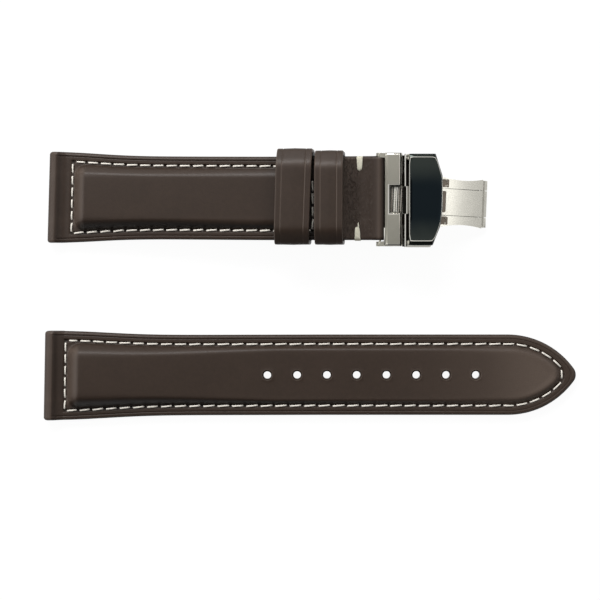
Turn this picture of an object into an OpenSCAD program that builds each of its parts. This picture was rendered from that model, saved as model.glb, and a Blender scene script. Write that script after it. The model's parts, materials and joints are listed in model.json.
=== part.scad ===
// Leather watch strap in two halves with a closed folding clasp, two keepers and a spring bar.
// Millimetres. X runs along the strap, Y across it and Z up from the table that it lies on.

/* [Strap] */
// Width at the lug ends
lug_w = 20; // [19:0.5:21]
// Width past the taper
strap_w = 18; // [17.5:0.25:18.5]
// Length of the long half
tail_len = 117.9; // [114:0.1:122]
// Length of the short half from its lug end to the bar in the clasp
short_len = 73.5; // [72:0.1:76]
// Distance between the centre lines of the two halves
half_spacing = 39.1; // [36:0.1:44]
// Distance from the lug end to where the taper starts
taper_start = 3; // [2:0.5:4]
// Length of the taper
taper_len = 16; // [13:1:18]

/* [Leather] */
// Thickness of the lining
lining_t = 0.9; // [0.8:0.05:1]
// Thickness of the short half at its edge
short_edge_t = 2.4; // [2.3:0.05:2.6]
// Thickness of the long half at its edge
tail_edge_t = 2.2; // [2.1:0.05:2.4]
// Thickness over the padding behind the lugs
pad_t = 4.6; // [4.3:0.1:4.9]
// Thickness of the short half over the padding by the keepers
short_pad_end_t = 3.2; // [3:0.05:3.3]
// Thickness of the long half along the holes
tail_pad_end_t = 2.95; // [2.8:0.05:3]
// Width of the rounded shoulder of the padding
shoulder_w = 2.1; // [1.8:0.1:2.3]
// Leather left over the filler
skin_t = 1; // [0.9:0.05:1.1]
// Radius round the lug bar hole
lug_end_r = 1.9; // [1.8:0.05:2]
// Radius of the lug bar hole
lug_bore_r = 0.9; // [0.8:0.05:1]

/* [Stitching] */
// Distance from the edge to the stitch line
stitch_in = 2.05; // [1.9:0.05:2.2]
// Thickness of the thread
thread_w = 0.6; // [0.5:0.05:0.65]
// Height of a stitch over the floor of its channel
stitch_h = 0.46; // [0.4:0.02:0.5]
// Length of a stitch
stitch_len = 2.5; // [2.3:0.05:2.6]
// Width of the channel that the stitches lie in
channel_w = 0.84; // [0.8:0.02:0.9]
// Depth of the channel
channel_d = 0.3; // [0.2:0.05:0.35]
// Distance from the short half's lug end to its first cross stitch line
short_line_in = 5.1; // [4.9:0.1:5.4]
// Distance from the bar in the clasp back to the short half's second cross stitch line
short_line_back = 14.8; // [14.6:0.1:15]
// Distance from the long half's lug end to its cross stitch line
tail_line_in = 4.65; // [4.65:0.05:5]

/* [Holes] */
// Distance between the adjustment holes
hole_pitch = 6.6; // [6.3:0.1:6.8]
// Radius of an adjustment hole
hole_r = 0.95; // [0.85:0.05:1]
// Distance from the tip to the nearest hole
hole_tip = 22.4; // [22:0.1:24]
// Radius of the arcs that form the point
tip_arc_r = 18; // [17:0.5:20]
// Rounding of the point
tip_r = 2; // [1.6:0.1:2.4]

/* [Keepers] */
// Width of the free keeper along the strap
free_w = 8; // [7.6:0.1:8]
// Width of the fixed keeper along the strap
fixed_w = 6.4; // [6:0.1:6.5]
// Thickness of the keepers
keeper_t = 1.2; // [1:0.05:1.3]
// Space inside a keeper from its floor to its roof
keeper_in_h = 6.2; // [6:0.1:6.4]
// Gap between a keeper's sides and the strap
keeper_side_gap = 0.3; // [0.25:0.05:0.4]
// Gap between the free keeper and the leather over it
keeper_gap = 0.06; // [0.04:0.01:0.1]
// Depth of the crease lines
crease_d = 0.15; // [0.1:0.05:0.2]

/* [Clasp] */
// Inner radius of the arched plates
arch_r = 36; // [34:0.5:38]
// Thickness of the arched plates
plate_t = 0.9; // [0.8:0.05:0.95]
// Distance from the clasp's centre to its end hinges
half_span = 17.9; // [17.6:0.1:18.2]
// Width of the arched base plate
base_w = 11; // [10.8:0.1:11.4]
// Width of the wing strips
wing_w = 5.8; // [5.6:0.1:5.9]
// Radius of the end hinge barrels
barrel_r = 1; // [0.95:0.01:1.05]
// Radius of the inner hinge barrels
inner_r = 0.95; // [0.9:0.01:0.98]
// Radius of the hinge pins
pin_r = 0.5; // [0.45:0.01:0.52]
// Radial clearance of a turning hinge
run_gap = 0.04; // [0.03:0.01:0.06]
// Gap beside a turning piece
side_gap = 0.1; // [0.08:0.01:0.14]
// Thickness of the frame plates and of the adjuster plate
frame_t = 0.8; // [0.7:0.05:0.85]
// Thickness of the cover over the tail
cover_t = 1; // [0.9:0.05:1.1]
// Space for the tail between the adjuster plate and the cover
tail_space = 3.05; // [3.03:0.01:3.15]
// Radius of the prong that goes into a hole
prong_r = 0.7; // [0.6:0.05:0.75]

/* [Spring bar] */
// Outer radius of the bar
bar_r = 0.65; // [0.6:0.01:0.67]
// Inner radius of the bar
bar_in_r = 0.42; // [0.4:0.01:0.43]
// Thickness of the leather round the bar
loop_t = 0.6; // [0.55:0.01:0.62]
// Radius of a plunger's tip
plunger_tip_r = 0.27; // [0.24:0.01:0.28]
// Reach of a plunger's tip into the frame's ear
plunger_reach = 0.9; // [0.8:0.05:0.95]

/* [Hidden] */
$fn = 48;
tiny = 0.01;

// Where the halves lie
keeper_half = strap_w / 2 + keeper_side_gap + keeper_t;
short_y = (half_spacing + lug_w / 2 - keeper_half) / 2;
tail_y = short_y - half_spacing;
tail_end_x = -tail_len / 2;
clasp_x = 20.4;

// Arched plates: the end hinge barrels stand on the table
mid_r = arch_r + plate_t / 2;
arch_z = barrel_r - sqrt(mid_r * mid_r - half_span * half_span);
raised_r = arch_r + plate_t + side_gap;
inner_u = 1.2;
inner_z = arch_z + arch_r + plate_t + side_gap + inner_r;
step_out_u = 9.45;
step_in_u = 8.85;
window_w = wing_w + 2 * side_gap;
window_u = 8.6;
knuckle_in = wing_w / 2 + side_gap + 0.05;
knuckle_out = base_w / 2 - 0.3;

// Bar in the clasp, over the raised part of the wing
bar_u = -5.2;
bar_x = clasp_x + bar_u;
loop_r = bar_r + 0.05 + loop_t;
raised_top = sqrt(pow(raised_r + plate_t, 2) - bar_u * bar_u) + arch_z;
bar_z = raised_top + 0.2 + loop_r;
ear_in = strap_w / 2 + 0.25;
ear_out = ear_in + 1;
ear_r = 1.2;
ear_hole_r = plunger_tip_r + 0.05;

// The short half slopes from the bar down to its lug end on the table
lug_run = short_len - lug_end_r;
slope = asin((bar_z - loop_r) / lug_run);

// Frames, adjuster and cover
frame_z = bar_z + 0.95;
frame_in_x = bar_x + 1.11;
frame_out_x = clasp_x - 0.48;
notch_w = wing_w + 0.6;
adjuster_z = inner_z + side_gap;
cover_z = adjuster_z + frame_t + tail_space;
cover_x = clasp_x + 1.04;
cover_len = 7.16;
cover_half = strap_w / 2 + 1.3;
cover_wall = 0.55;
cover_pin_x = cover_x + 0.1;
cover_pin_z = cover_z - 0.78;
cover_pin_r = 0.4;
adjuster_ear_in = strap_w / 2 + 0.13;
adjuster_ear_out = cover_half - cover_wall - 0.05;
barrel_out = cover_half - 0.1;
prong_x = clasp_x + 5;
slot_w = 1.3;
slot_y = 4.1;
hook_w = 1.1;

// Lengthwise rows of the padded leather: distance from the edge, then the drop there
channel_out = stitch_in - channel_w / 2;
channel_in = stitch_in + channel_w / 2;
foot_in = channel_in + 0.1;
edge_rows = [[0, 0.7], [0.15, 0.3], [0.42, 0.07], [0.75, 0], [0.86, 0.12], [0.97, 0]];
shoulder_steps = [0.1, 0.25, 0.45, 0.7, 1];
row_d = concat(
    [for (r = edge_rows) r[0]],
    [channel_out, channel_out + 0.05, channel_in - 0.05, channel_in, foot_in],
    [for (s = shoulder_steps) foot_in + shoulder_w * s]
);
rows = len(row_d) - 1;

function clamp01(v) = max(0, min(1, v));
function blend(v) = (1 - cos(180 * clamp01(v))) / 2;
function half_w(s) = lug_w / 2 + (strap_w - lug_w) / 2 * blend((s - taper_start) / taper_len);
function edge_drop(k) = k < len(edge_rows) ? edge_rows[k][1] : 0;
function groove_drop(k, plain) = plain && k > 2 ? 0 : edge_drop(k);
function in_band(v, at) = abs(v - at) < channel_w / 2 - 0.03 ? 1 : 0;
function foot(v) = clamp01(1 - v / shoulder_w);

// Height of the padding as a share of its full height, with rounded corners
function pad_share(s, d, s0, s1) =
    let (a = max(foot(s - s0), foot(s1 - s)), b = foot(d - foot_in))
    let (r = min(1, sqrt(a * a + b * b)))
    1 - pow(r, 2.4);

// 1 in the stitch channel, 0 outside it
function channel(s, d, line_in, line_out) =
    s < line_in - channel_w / 2 + 0.03 || s > line_out + channel_w / 2 - 0.03 ? 0
    : in_band(d, stitch_in) == 1 ? 1
    : d > stitch_in ? max(in_band(s, line_in), in_band(s, line_out)) : 0;

// Stations across a cross stitch line and the padding's shoulder behind it
function line_stations(line, way) = concat(
    [for (v = [-channel_w / 2, -channel_w / 2 + 0.05, channel_w / 2 - 0.05, channel_w / 2]) line + way * v],
    [line + way * (foot_in - stitch_in)],
    [for (v = shoulder_steps) line + way * (foot_in - stitch_in + shoulder_w * v)]
);
function reversed(list) = [for (i = [len(list) - 1:-1:0]) list[i]];

// Short half: stations from the lug end, and the height of the leather over its flat underside
short_line_out = short_len - short_line_back;
short_from = 2 * lug_end_r + 0.3;
short_to = short_len - loop_r - 0.3;
short_foot_in = short_line_in + foot_in - stitch_in;
short_foot_out = short_line_out - foot_in + stitch_in;
short_s = concat(
    [short_from], line_stations(short_line_in, 1),
    [for (i = [0:9]) 8.6 + i * (taper_start + taper_len - 8.6) / 9],
    [30, 42], reversed(line_stations(short_line_out, -1)), [short_to]
);
function short_pad(s) =
    pad_t + (short_pad_end_t - pad_t) * clamp01((s - short_foot_in) / (short_foot_out - short_foot_in));
function short_h(s, k, plain) =
    short_edge_t - groove_drop(k, plain)
    - channel_d * channel(s, row_d[k], short_line_in, short_line_out)
    + (short_pad(s) - short_edge_t) * pad_share(s, row_d[k], short_foot_in, short_foot_out);
short_top = [
    for (i = [0:len(short_s) - 1])
        [for (k = [0:rows]) [
            short_s[i], half_w(short_s[i]) - row_d[k],
            short_h(short_s[i], k, i == 0 || i == len(short_s) - 1)
        ]]
];

// Long half: straight stations, then the point, where every row is an arc of its own
tail_from = 2 * lug_end_r + 0.25;
tip_start = tail_len - tip_r - sqrt(pow(tip_arc_r - tip_r, 2) - pow(tip_arc_r - strap_w / 2, 2));
tail_foot_in = tail_line_in + foot_in - stitch_in;
pad_flat_s = tail_len - hole_tip - 7 * hole_pitch - 2.5;
tail_s = concat(
    [tail_from], line_stations(tail_line_in, 1),
    [for (i = [0:9]) 8.4 + i * (taper_start + taper_len - 8.4) / 9],
    [pad_flat_s, tip_start]
);
tip_steps = 8;
apex_steps = 5;
function tail_pad(s) =
    pad_t + (tail_pad_end_t - pad_t) * clamp01((s - tail_foot_in) / (pad_flat_s - tail_foot_in));
function tail_h(s, k, plain) =
    tail_edge_t - groove_drop(k, plain)
    - channel_d * channel(s, row_d[k], tail_line_in, 10 * tail_len)
    + (tail_pad(s) - tail_edge_t) * pad_share(s, row_d[k], tail_foot_in, 10 * tail_len);
arc_y = strap_w / 2 - tip_arc_r;
function apex_r(d) =
    d < stitch_in ? tip_r + (3.5 - tip_r) * d / stitch_in : max(0.3, 3.5 - (d - stitch_in));
function apex_x(d) = sqrt(pow(tip_arc_r - d - apex_r(d), 2) - arc_y * arc_y);
function apex_a(d) = atan2(-arc_y, apex_x(d));
function tip_at(d, j) =
    j <= tip_steps
    ? let (a = 90 - (90 - apex_a(d)) * j / tip_steps)
        [tip_start + (tip_arc_r - d) * cos(a), arc_y + (tip_arc_r - d) * sin(a)]
    : let (a = apex_a(d) * (tip_steps + apex_steps - j) / apex_steps)
        [tip_start + apex_x(d) + apex_r(d) * cos(a), j == tip_steps + apex_steps ? 0 : apex_r(d) * sin(a)];
tail_top = concat(
    [for (i = [0:len(tail_s) - 1])
        [for (k = [0:rows]) [
            tail_s[i], half_w(tail_s[i]) - row_d[k], tail_h(tail_s[i], k, i == 0)
        ]]],
    [for (j = [1:tip_steps + apex_steps])
        [for (k = [0:rows])
            let (p = tip_at(row_d[k], j))
            [p[0], p[1], tail_h(tip_start, k, false)]]]
);

// Closed body between the rows of points and a flat underside. Pointed bodies end in one edge.
module leather_body(top, floor_z, pointed) {
    n = len(top) - 1;
    cols = 2 * rows + 1;
    ring = [
        for (i = [0:n]) for (j = [0:cols])
            j <= rows ? top[i][j] : [top[i][cols - j][0], -top[i][cols - j][1], top[i][cols - j][2]]
    ];
    under = [for (i = [0:n]) for (s = [1, -1]) [top[i][0][0], s * top[i][0][1], floor_z]];
    first = (n + 1) * (cols + 1);
    last = pointed ? n - 1 : n;
    full = [
        for (i = [0:last - 1]) for (j = [0:cols - 1])
            [i * (cols + 1) + j, (i + 1) * (cols + 1) + j, (i + 1) * (cols + 1) + j + 1, i * (cols + 1) + j + 1]
    ];
    sides = [
        for (i = [0:last - 1]) for (f = [
            [i * (cols + 1), first + 2 * i, first + 2 * i + 2, (i + 1) * (cols + 1)],
            [i * (cols + 1) + cols, (i + 1) * (cols + 1) + cols, first + 2 * i + 3, first + 2 * i + 1],
            [first + 2 * i, first + 2 * i + 1, first + 2 * i + 3, first + 2 * i + 2]
        ]) f
    ];
    front = [concat([for (j = [0:cols]) j], [first + 1, first])];
    back = pointed ? [] : [concat([for (j = [cols:-1:0]) n * (cols + 1) + j], [first + 2 * n, first + 2 * n + 1])];
    a = last * (cols + 1);
    b = n * (cols + 1);
    point_faces = !pointed ? [] : concat(
        [for (j = [0:rows - 1]) [a + j, b + j, b + j + 1, a + j + 1]],
        [[a + rows, b + rows, a + rows + 1]],
        [for (j = [0:rows - 1]) [a + cols - j - 1, b + j + 1, b + j, a + cols - j]],
        [[a, first + 2 * last, first + 2 * n, b]],
        [[a + cols, b, first + 2 * n, first + 2 * last + 1]],
        [[first + 2 * last, first + 2 * last + 1, first + 2 * n]]
    );
    polyhedron(concat(ring, under), concat(full, sides, front, back, point_faces), convexity = 6);
}

// Outline of the leather as a flat shape
module leather_plan(top) {
    n = len(top) - 1;
    polygon(concat(
        [for (i = [0:n]) [top[i][0][0], top[i][0][1]]],
        [for (i = [n:-1:0]) if (top[i][0][1] > 0) [top[i][0][0], -top[i][0][1]]]
    ));
}

// A profile in X and Z, extruded along Y from one distance to another
module across(from_y, to_y) {
    translate([0, to_y, 0])
        rotate([90, 0, 0])
            linear_extrude(to_y - from_y)
                children();
}

module across_both(from_y, to_y) {
    across(from_y, to_y) children();
    across(-to_y, -from_y) children();
}

module rod(x, z, r, from_y, to_y) {
    translate([x, to_y, z])
        rotate([90, 0, 0])
            cylinder(r = r, h = to_y - from_y);
}

// Frames of reference of the two halves and of the clasp
module on_short() {
    translate([bar_x, short_y, bar_z])
        rotate([0, -slope, 0])
            translate([-short_len, 0, -loop_r])
                children();
}

module on_tail() {
    translate([tail_end_x, tail_y, 0])
        children();
}

module on_clasp() {
    translate([0, short_y, 0])
        children();
}

module stitch(length, z, h) {
    translate([0, 0, z])
        linear_extrude(h) {
            square([length - thread_w, thread_w], center = true);
            translate([(length - thread_w) / 2, 0]) circle(r = thread_w / 2, $fn = 24);
            translate([-(length - thread_w) / 2, 0]) circle(r = thread_w / 2, $fn = 24);
        }
}

// A row of stitches along both edges between two distances from the lug end
module edge_stitches(from_s, to_s, count, z) {
    pitch = (to_s - from_s) / count;
    for (i = [0:count - 1]) {
        s = from_s + (i + 0.5) * pitch;
        lean = atan2(half_w(s + 0.5) - half_w(s - 0.5), 1);
        translate([s, half_w(s) - stitch_in, 0]) rotate([0, 0, lean]) stitch(stitch_len, z, stitch_h);
        translate([s, stitch_in - half_w(s), 0]) rotate([0, 0, -lean]) stitch(stitch_len, z, stitch_h);
    }
}

module cross_stitches(at_s, count, z) {
    reach = half_w(at_s) - stitch_in - 0.1;
    pitch = 2 * reach / count;
    for (i = [0:count - 1])
        translate([at_s, -reach + (i + 0.5) * pitch, 0])
            rotate([0, 0, 90])
                stitch(min(stitch_len, pitch - 0.35), z, stitch_h);
}

// Filler under the padding, wedge-shaped along the strap
module short_filler_solid() {
    a = short_foot_in + 1.1;
    b = short_foot_out - 1.1;
    across(-half_fill, half_fill)
        polygon([[a, lining_t], [b, lining_t], [b, short_pad(b) - skin_t],
            [a + 1.6, short_pad(a + 1.6) - skin_t], [a, short_pad(a) - skin_t - 0.5]]);
}
half_fill = strap_w / 2 - foot_in - 1.3;

module tail_filler_solid() {
    a = tail_foot_in + 1.1;
    b = pad_flat_s - 2;
    across(-half_fill, half_fill)
        polygon([[a, lining_t], [b, lining_t], [b, tail_pad(b) - skin_t],
            [a + 1.6, tail_pad(a + 1.6) - skin_t], [a, tail_pad(a) - skin_t - 0.5]]);
}

// Lug end: the leather turned round the hole for the lug bar
module lug_end(edge_t, to_s) {
    across(-lug_w / 2, lug_w / 2) {
        translate([lug_end_r, lug_end_r]) circle(r = lug_end_r);
        translate([lug_end_r, 0]) square([to_s - lug_end_r, edge_t]);
    }
}

module short_upper() {
    color("saddlebrown") on_short() difference() {
        union() {
            leather_body(short_top, lining_t, false);
            lug_end(short_edge_t, short_from);
            across(-strap_w / 2, strap_w / 2) {
                translate([short_len, loop_r]) circle(r = loop_r);
                translate([short_to, 0]) square([short_len - short_to, short_edge_t]);
            }
        }
        rod(lug_end_r, lug_end_r, lug_bore_r, -lug_w, lug_w);
        rod(short_len, loop_r, bar_r + 0.05, -lug_w, lug_w);
        short_filler_solid();
    }
}

module short_filler() {
    color("tan") on_short() short_filler_solid();
}

module short_lining() {
    color("peru") on_short() linear_extrude(lining_t) leather_plan(short_top);
}

module short_stitching() {
    color("ivory") on_short() {
        floor_z = short_edge_t - channel_d;
        edge_stitches(short_line_in + 0.1, short_line_out - 0.1, 18, floor_z);
        cross_stitches(short_line_in, 6, floor_z);
        cross_stitches(short_line_out, 5, floor_z);
    }
}

// Thread bound over each edge of the tab beside the bar
module loop_tacks() {
    thick = 0.3;
    wide = 1.3;
    at_s = short_len - 4.45;
    edge = strap_w / 2;
    color("ivory") on_short()
        for (side = [1, -1]) {
            in_y = side > 0 ? 2.9 : 3.5;
            y0 = side > 0 ? edge - in_y : -edge - thick;
            translate([at_s - wide / 2, y0, short_edge_t]) cube([wide, in_y + thick, thick]);
            translate([at_s - wide / 2, y0, -thick]) cube([wide, in_y + thick, thick]);
            translate([at_s - wide / 2, side > 0 ? edge : -edge - thick, -thick])
                cube([wide, thick, short_edge_t + 2 * thick]);
        }
}

module round_rect(w, h, r_top, r_low) {
    for (side = [-1, 1]) {
        translate([side * (w / 2 - r_top), h - r_top]) circle(r = r_top);
        translate([side * (w / 2 - r_low), r_low]) circle(r = r_low);
    }
    translate([-w / 2 + r_low, 0]) square([w - 2 * r_low, h - r_top]);
    translate([-w / 2, r_low]) square([w, h - r_top - r_low]);
    translate([-w / 2 + r_top, r_low]) square([w - 2 * r_top, h - r_low]);
}

// Band of leather round both thicknesses of the strap, with a crease line near each edge
module keeper(length, under) {
    in_w = strap_w + 2 * keeper_side_gap;
    out_w = 2 * keeper_half;
    out_h = keeper_in_h + 2 * keeper_t;
    translate([0, 0, -under - keeper_t])
        rotate([90, 0, 90])
            difference() {
                linear_extrude(length) round_rect(out_w, out_h, 2.6, 1.6);
                translate([0, keeper_t, -1]) linear_extrude(length + 2) round_rect(in_w, keeper_in_h, 1.2, 0.3);
                for (at = [1.4, length - 1.4])
                    translate([0, 0, at - 0.17]) linear_extrude(0.34) difference() {
                        translate([0, -1]) square([out_w + 2, 2 * (out_h + 2)], center = true);
                        translate([0, crease_d])
                            round_rect(out_w - 2 * crease_d, out_h - 2 * crease_d, 2.5, 1.5);
                    }
            }
}

module fixed_keeper() {
    start = short_line_out + channel_w / 2 + 0.03;
    color("saddlebrown") on_short() translate([start, 0, 0]) keeper(fixed_w, 0);
}

module free_keeper() {
    start = short_line_out - 0.1 - free_w;
    color("saddlebrown") on_short() translate([start, 0, 0]) keeper(free_w, keeper_gap);
}

// Spring bar in the leather loop
tube_half = ear_in - 0.65;
collar_r = bar_in_r - 0.04;
collar_at = tube_half - 1.1;
collar_len = 0.7;

module bar_tube() {
    color("silver") on_clasp() difference() {
        rod(bar_x, bar_z, bar_r, -tube_half, tube_half);
        rod(bar_x, bar_z, bar_in_r, -tube_half + 0.35, tube_half - 0.35);
        rod(bar_x, bar_z, plunger_tip_r + 0.03, -tube_half - 1, tube_half + 1);
    }
}

module plunger() {
    rod(bar_x, bar_z, collar_r, collar_at - collar_len, collar_at);
    rod(bar_x, bar_z, plunger_tip_r, collar_at - tiny, ear_in + plunger_reach);
}

module bar_plunger_north() {
    color("gainsboro") on_clasp() plunger();
}

module bar_plunger_south() {
    color("gainsboro") on_clasp() mirror([0, 1, 0]) plunger();
}

// Coil spring inside the bar, one unbroken wire
module bar_spring() {
    turns = 11;
    per_turn = 10;
    wire_r = 0.07;
    coil_r = bar_in_r - 0.05 - wire_r;
    reach = collar_at - collar_len - wire_r - 0.02;
    count = turns * per_turn;
    sides = 6;
    pts = [
        for (i = [0:count]) for (j = [0:sides - 1])
            let (a = 360 * i / per_turn, b = 360 * j / sides, r = coil_r + wire_r * cos(b))
            [bar_x + r * cos(a), -reach + 2 * reach * i / count + wire_r * sin(b), bar_z + r * sin(a)]
    ];
    walls = [
        for (i = [0:count - 1]) for (j = [0:sides - 1])
            [i * sides + j, i * sides + (j + 1) % sides, (i + 1) * sides + (j + 1) % sides, (i + 1) * sides + j]
    ];
    ends = [[for (j = [sides - 1:-1:0]) j], [for (j = [0:sides - 1]) count * sides + j]];
    color("darkgray") on_clasp() polyhedron(pts, concat(walls, ends), convexity = 10);
}

module holes() {
    for (i = [0:7])
        translate([tail_len - hole_tip - i * hole_pitch, 0, -1])
            cylinder(r = hole_r, h = pad_t + 2);
}

module tail_upper() {
    color("saddlebrown") on_tail() difference() {
        union() {
            leather_body(tail_top, lining_t, true);
            lug_end(tail_edge_t, tail_from);
        }
        rod(lug_end_r, lug_end_r, lug_bore_r, -lug_w, lug_w);
        tail_filler_solid();
        holes();
    }
}

module tail_filler() {
    color("tan") on_tail() tail_filler_solid();
}

module tail_lining() {
    color("peru") on_tail() difference() {
        linear_extrude(lining_t) leather_plan(tail_top);
        holes();
    }
}

module tail_stitching() {
    floor_z = tail_edge_t - channel_d;
    line_r = tip_arc_r - stitch_in;
    arc_a = 90 - apex_a(stitch_in);
    color("ivory") on_tail() {
        edge_stitches(tail_line_in + 0.1, tip_start - 0.2, 31, floor_z);
        cross_stitches(tail_line_in, 6, floor_z);
        for (side = [1, -1], i = [0:3]) {
            a = 90 - arc_a * (i + 0.5) / 4;
            translate([tip_start + (line_r - 0.02) * cos(a), side * (arc_y + (line_r - 0.02) * sin(a)), 0])
                rotate([0, 0, side * (a - 90)])
                    stitch(min(stitch_len, line_r * arc_a * PI / 180 / 4 - 0.4), floor_z, stitch_h);
        }
        for (side = [1, -1]) {
            a = apex_a(stitch_in) / 2 + 3;
            r = apex_r(stitch_in) - 0.07;
            translate([tip_start + apex_x(stitch_in) + r * cos(a), side * r * sin(a), 0])
                rotate([0, 0, side * (a - 90)])
                    stitch(1.8, floor_z, stitch_h);
        }
    }
}

// Part of a ring round the arch's centre, between two distances from the clasp's centre
module arch_band(r0, r1, u0, u1) {
    translate([clasp_x, 0]) intersection() {
        translate([0, arch_z]) difference() {
            circle(r = r1, $fn = 96);
            circle(r = r0, $fn = 96);
        }
        translate([u0, -5]) square([u1 - u0, 20]);
    }
}

module slot_plan(u0, u1) {
    for (side = [-1, 1])
        translate([clasp_x, side * slot_y]) {
            translate([u0 + slot_w / 2, -slot_w / 2]) square([u1 - u0 - slot_w, slot_w]);
            translate([u0 + slot_w / 2, 0]) circle(r = slot_w / 2);
            translate([u1 - slot_w / 2, 0]) circle(r = slot_w / 2);
        }
}

// Arched base plate with a window in each end for the wing and slots for the frames' catches
module base_plate() {
    waist_r = 20;
    color("silver") on_clasp() difference() {
        union() {
            intersection() {
                across(-base_w, base_w) arch_band(arch_r, arch_r + plate_t, -half_span, half_span);
                translate([0, 0, -1]) linear_extrude(12) difference() {
                    translate([clasp_x - half_span, -base_w / 2]) square([2 * half_span, base_w]);
                    for (side = [-1, 1]) {
                        translate([clasp_x + side * 13.4, base_w / 2 + waist_r - 0.6])
                            circle(r = waist_r, $fn = 96);
                        translate([clasp_x + side * 13.4, -base_w / 2 - waist_r + 0.6])
                            circle(r = waist_r, $fn = 96);
                        translate([clasp_x + side * (window_u + 10), 0])
                            square([20, window_w], center = true);
                    }
                    slot_plan(-4.3, -2.2);
                    slot_plan(5.5, 9.7);
                }
            }
            for (u = [-half_span, half_span], side = [-1, 1])
                rod(clasp_x + u, barrel_r, barrel_r,
                    side > 0 ? knuckle_in : -knuckle_out, side > 0 ? knuckle_out : -knuckle_in);
        }
        for (u = [-half_span, half_span])
            rod(clasp_x + u, barrel_r, pin_r, -base_w, base_w);
    }
}

module left_base_pin() {
    color("dimgray") on_clasp() rod(clasp_x - half_span, barrel_r, pin_r, -knuckle_out, knuckle_out);
}

module right_base_pin() {
    color("dimgray") on_clasp() rod(clasp_x + half_span, barrel_r, pin_r, -knuckle_out, knuckle_out);
}

// Wing strip: flush in the window, then raised over the middle of the base plate
module wing(way) {
    end = clasp_x + way * half_span;
    inner = clasp_x + way * inner_u;
    half = wing_w / 2;
    u_out = way > 0 ? [step_in_u, half_span] : [-half_span, -step_in_u];
    u_step = way > 0 ? [step_in_u, step_out_u] : [-step_out_u, -step_in_u];
    u_in = way > 0 ? [inner_u, step_out_u] : [-step_out_u, -inner_u];
    difference() {
        union() {
            across(-half, half) {
                arch_band(arch_r, arch_r + plate_t, u_out[0], u_out[1]);
                arch_band(arch_r, raised_r + plate_t, u_step[0], u_step[1]);
                arch_band(raised_r, raised_r + plate_t, u_in[0], u_in[1]);
                translate([end, barrel_r]) circle(r = barrel_r);
                translate([inner, inner_z]) circle(r = inner_r);
            }
        }
        rod(end, barrel_r, pin_r + run_gap, -half - 1, half + 1);
        rod(inner, inner_z, pin_r + run_gap, -half - 1, half + 1);
    }
}

module left_wing() {
    color("whitesmoke") on_clasp() wing(-1);
}

module right_wing() {
    color("whitesmoke") on_clasp() wing(1);
}

// Frame that carries the spring bar and hangs on the left wing
module left_frame() {
    hinge_x = clasp_x - inner_u;
    color("gray") on_clasp() difference() {
        union() {
            across(-ear_out, ear_out) {
                polygon([[frame_in_x, frame_z], [frame_out_x - 0.4, frame_z],
                    [frame_out_x - 0.4, frame_z + frame_t], [frame_in_x + 0.5, frame_z + frame_t],
                    [frame_in_x, frame_z + frame_t - 0.3]]);
                translate([frame_out_x - 0.4, frame_z + frame_t / 2]) circle(r = frame_t / 2);
            }
            across_both(ear_in, ear_out) {
                translate([bar_x, bar_z]) circle(r = ear_r);
                polygon([[bar_x, bar_z - ear_r], [frame_in_x + 1.6, bar_z - 0.6],
                    [frame_out_x - 0.9, frame_z], [frame_out_x - 0.9, frame_z + frame_t],
                    [frame_in_x + 0.5, frame_z + frame_t], [bar_x, bar_z + ear_r]]);
            }
            across_both(knuckle_in, barrel_out) {
                translate([hinge_x, inner_z]) circle(r = inner_r);
                translate([hinge_x - 0.6, inner_z]) square([1.2, frame_z - inner_z + 0.2]);
            }
            for (side = [-1, 1])
                translate([frame_in_x + 0.7, side * slot_y - hook_w / 2, inner_z - 1.75])
                    cube([0.85, hook_w, frame_z - inner_z + 1.95]);
        }
        translate([frame_in_x + 0.69, -notch_w / 2, inner_z - 3])
            cube([hinge_x + inner_r - frame_in_x, notch_w, frame_z - inner_z + 6]);
        rod(hinge_x, inner_z, pin_r, -strap_w, strap_w);
        rod(bar_x, bar_z, ear_hole_r, -strap_w, strap_w);
    }
}

module left_frame_pin() {
    color("dimgray") on_clasp() rod(clasp_x - inner_u, inner_z, pin_r, -barrel_out, barrel_out);
}

// Adjuster frame under the cover, with the ears that the cover turns on
module right_frame() {
    hinge_x = clasp_x + inner_u;
    color("gray") on_clasp() difference() {
        union() {
            across_both(knuckle_in, barrel_out)
                translate([hinge_x, inner_z]) circle(r = inner_r);
            translate([hinge_x, -strap_w / 2, adjuster_z]) cube([6.3, strap_w, frame_t]);
            across_both(adjuster_ear_in, adjuster_ear_out) {
                translate([cover_pin_x, cover_pin_z]) circle(r = 0.66);
                polygon([[hinge_x - 0.85, inner_z], [hinge_x + 0.85, inner_z],
                    [cover_pin_x + 0.66, cover_pin_z], [cover_pin_x - 0.66, cover_pin_z]]);
            }
            for (side = [-1, 1])
                translate([clasp_x + 6, side * slot_y - hook_w / 2, inner_z - 2.3])
                    cube([0.9, hook_w, adjuster_z - inner_z + 2.5]);
        }
        translate([clasp_x - 1, -knuckle_in, inner_z - 2]) cube([3.35, 2 * knuckle_in, 4]);
        rod(hinge_x, inner_z, pin_r, -strap_w, strap_w);
        rod(cover_pin_x, cover_pin_z, cover_pin_r, -strap_w, strap_w);
        translate([prong_x, 0, adjuster_z - 1]) cylinder(r = prong_r, h = 3);
    }
}

module right_frame_pin() {
    color("dimgray") on_clasp() rod(clasp_x + inner_u, inner_z, pin_r, -barrel_out, barrel_out);
}

module prong() {
    top_z = adjuster_z + frame_t + 2.4 - prong_r;
    color("silver") on_clasp() translate([prong_x, 0, 0]) {
        translate([0, 0, adjuster_z]) cylinder(r = prong_r, h = top_z - adjuster_z);
        translate([0, 0, top_z]) sphere(r = prong_r);
    }
}

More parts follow.
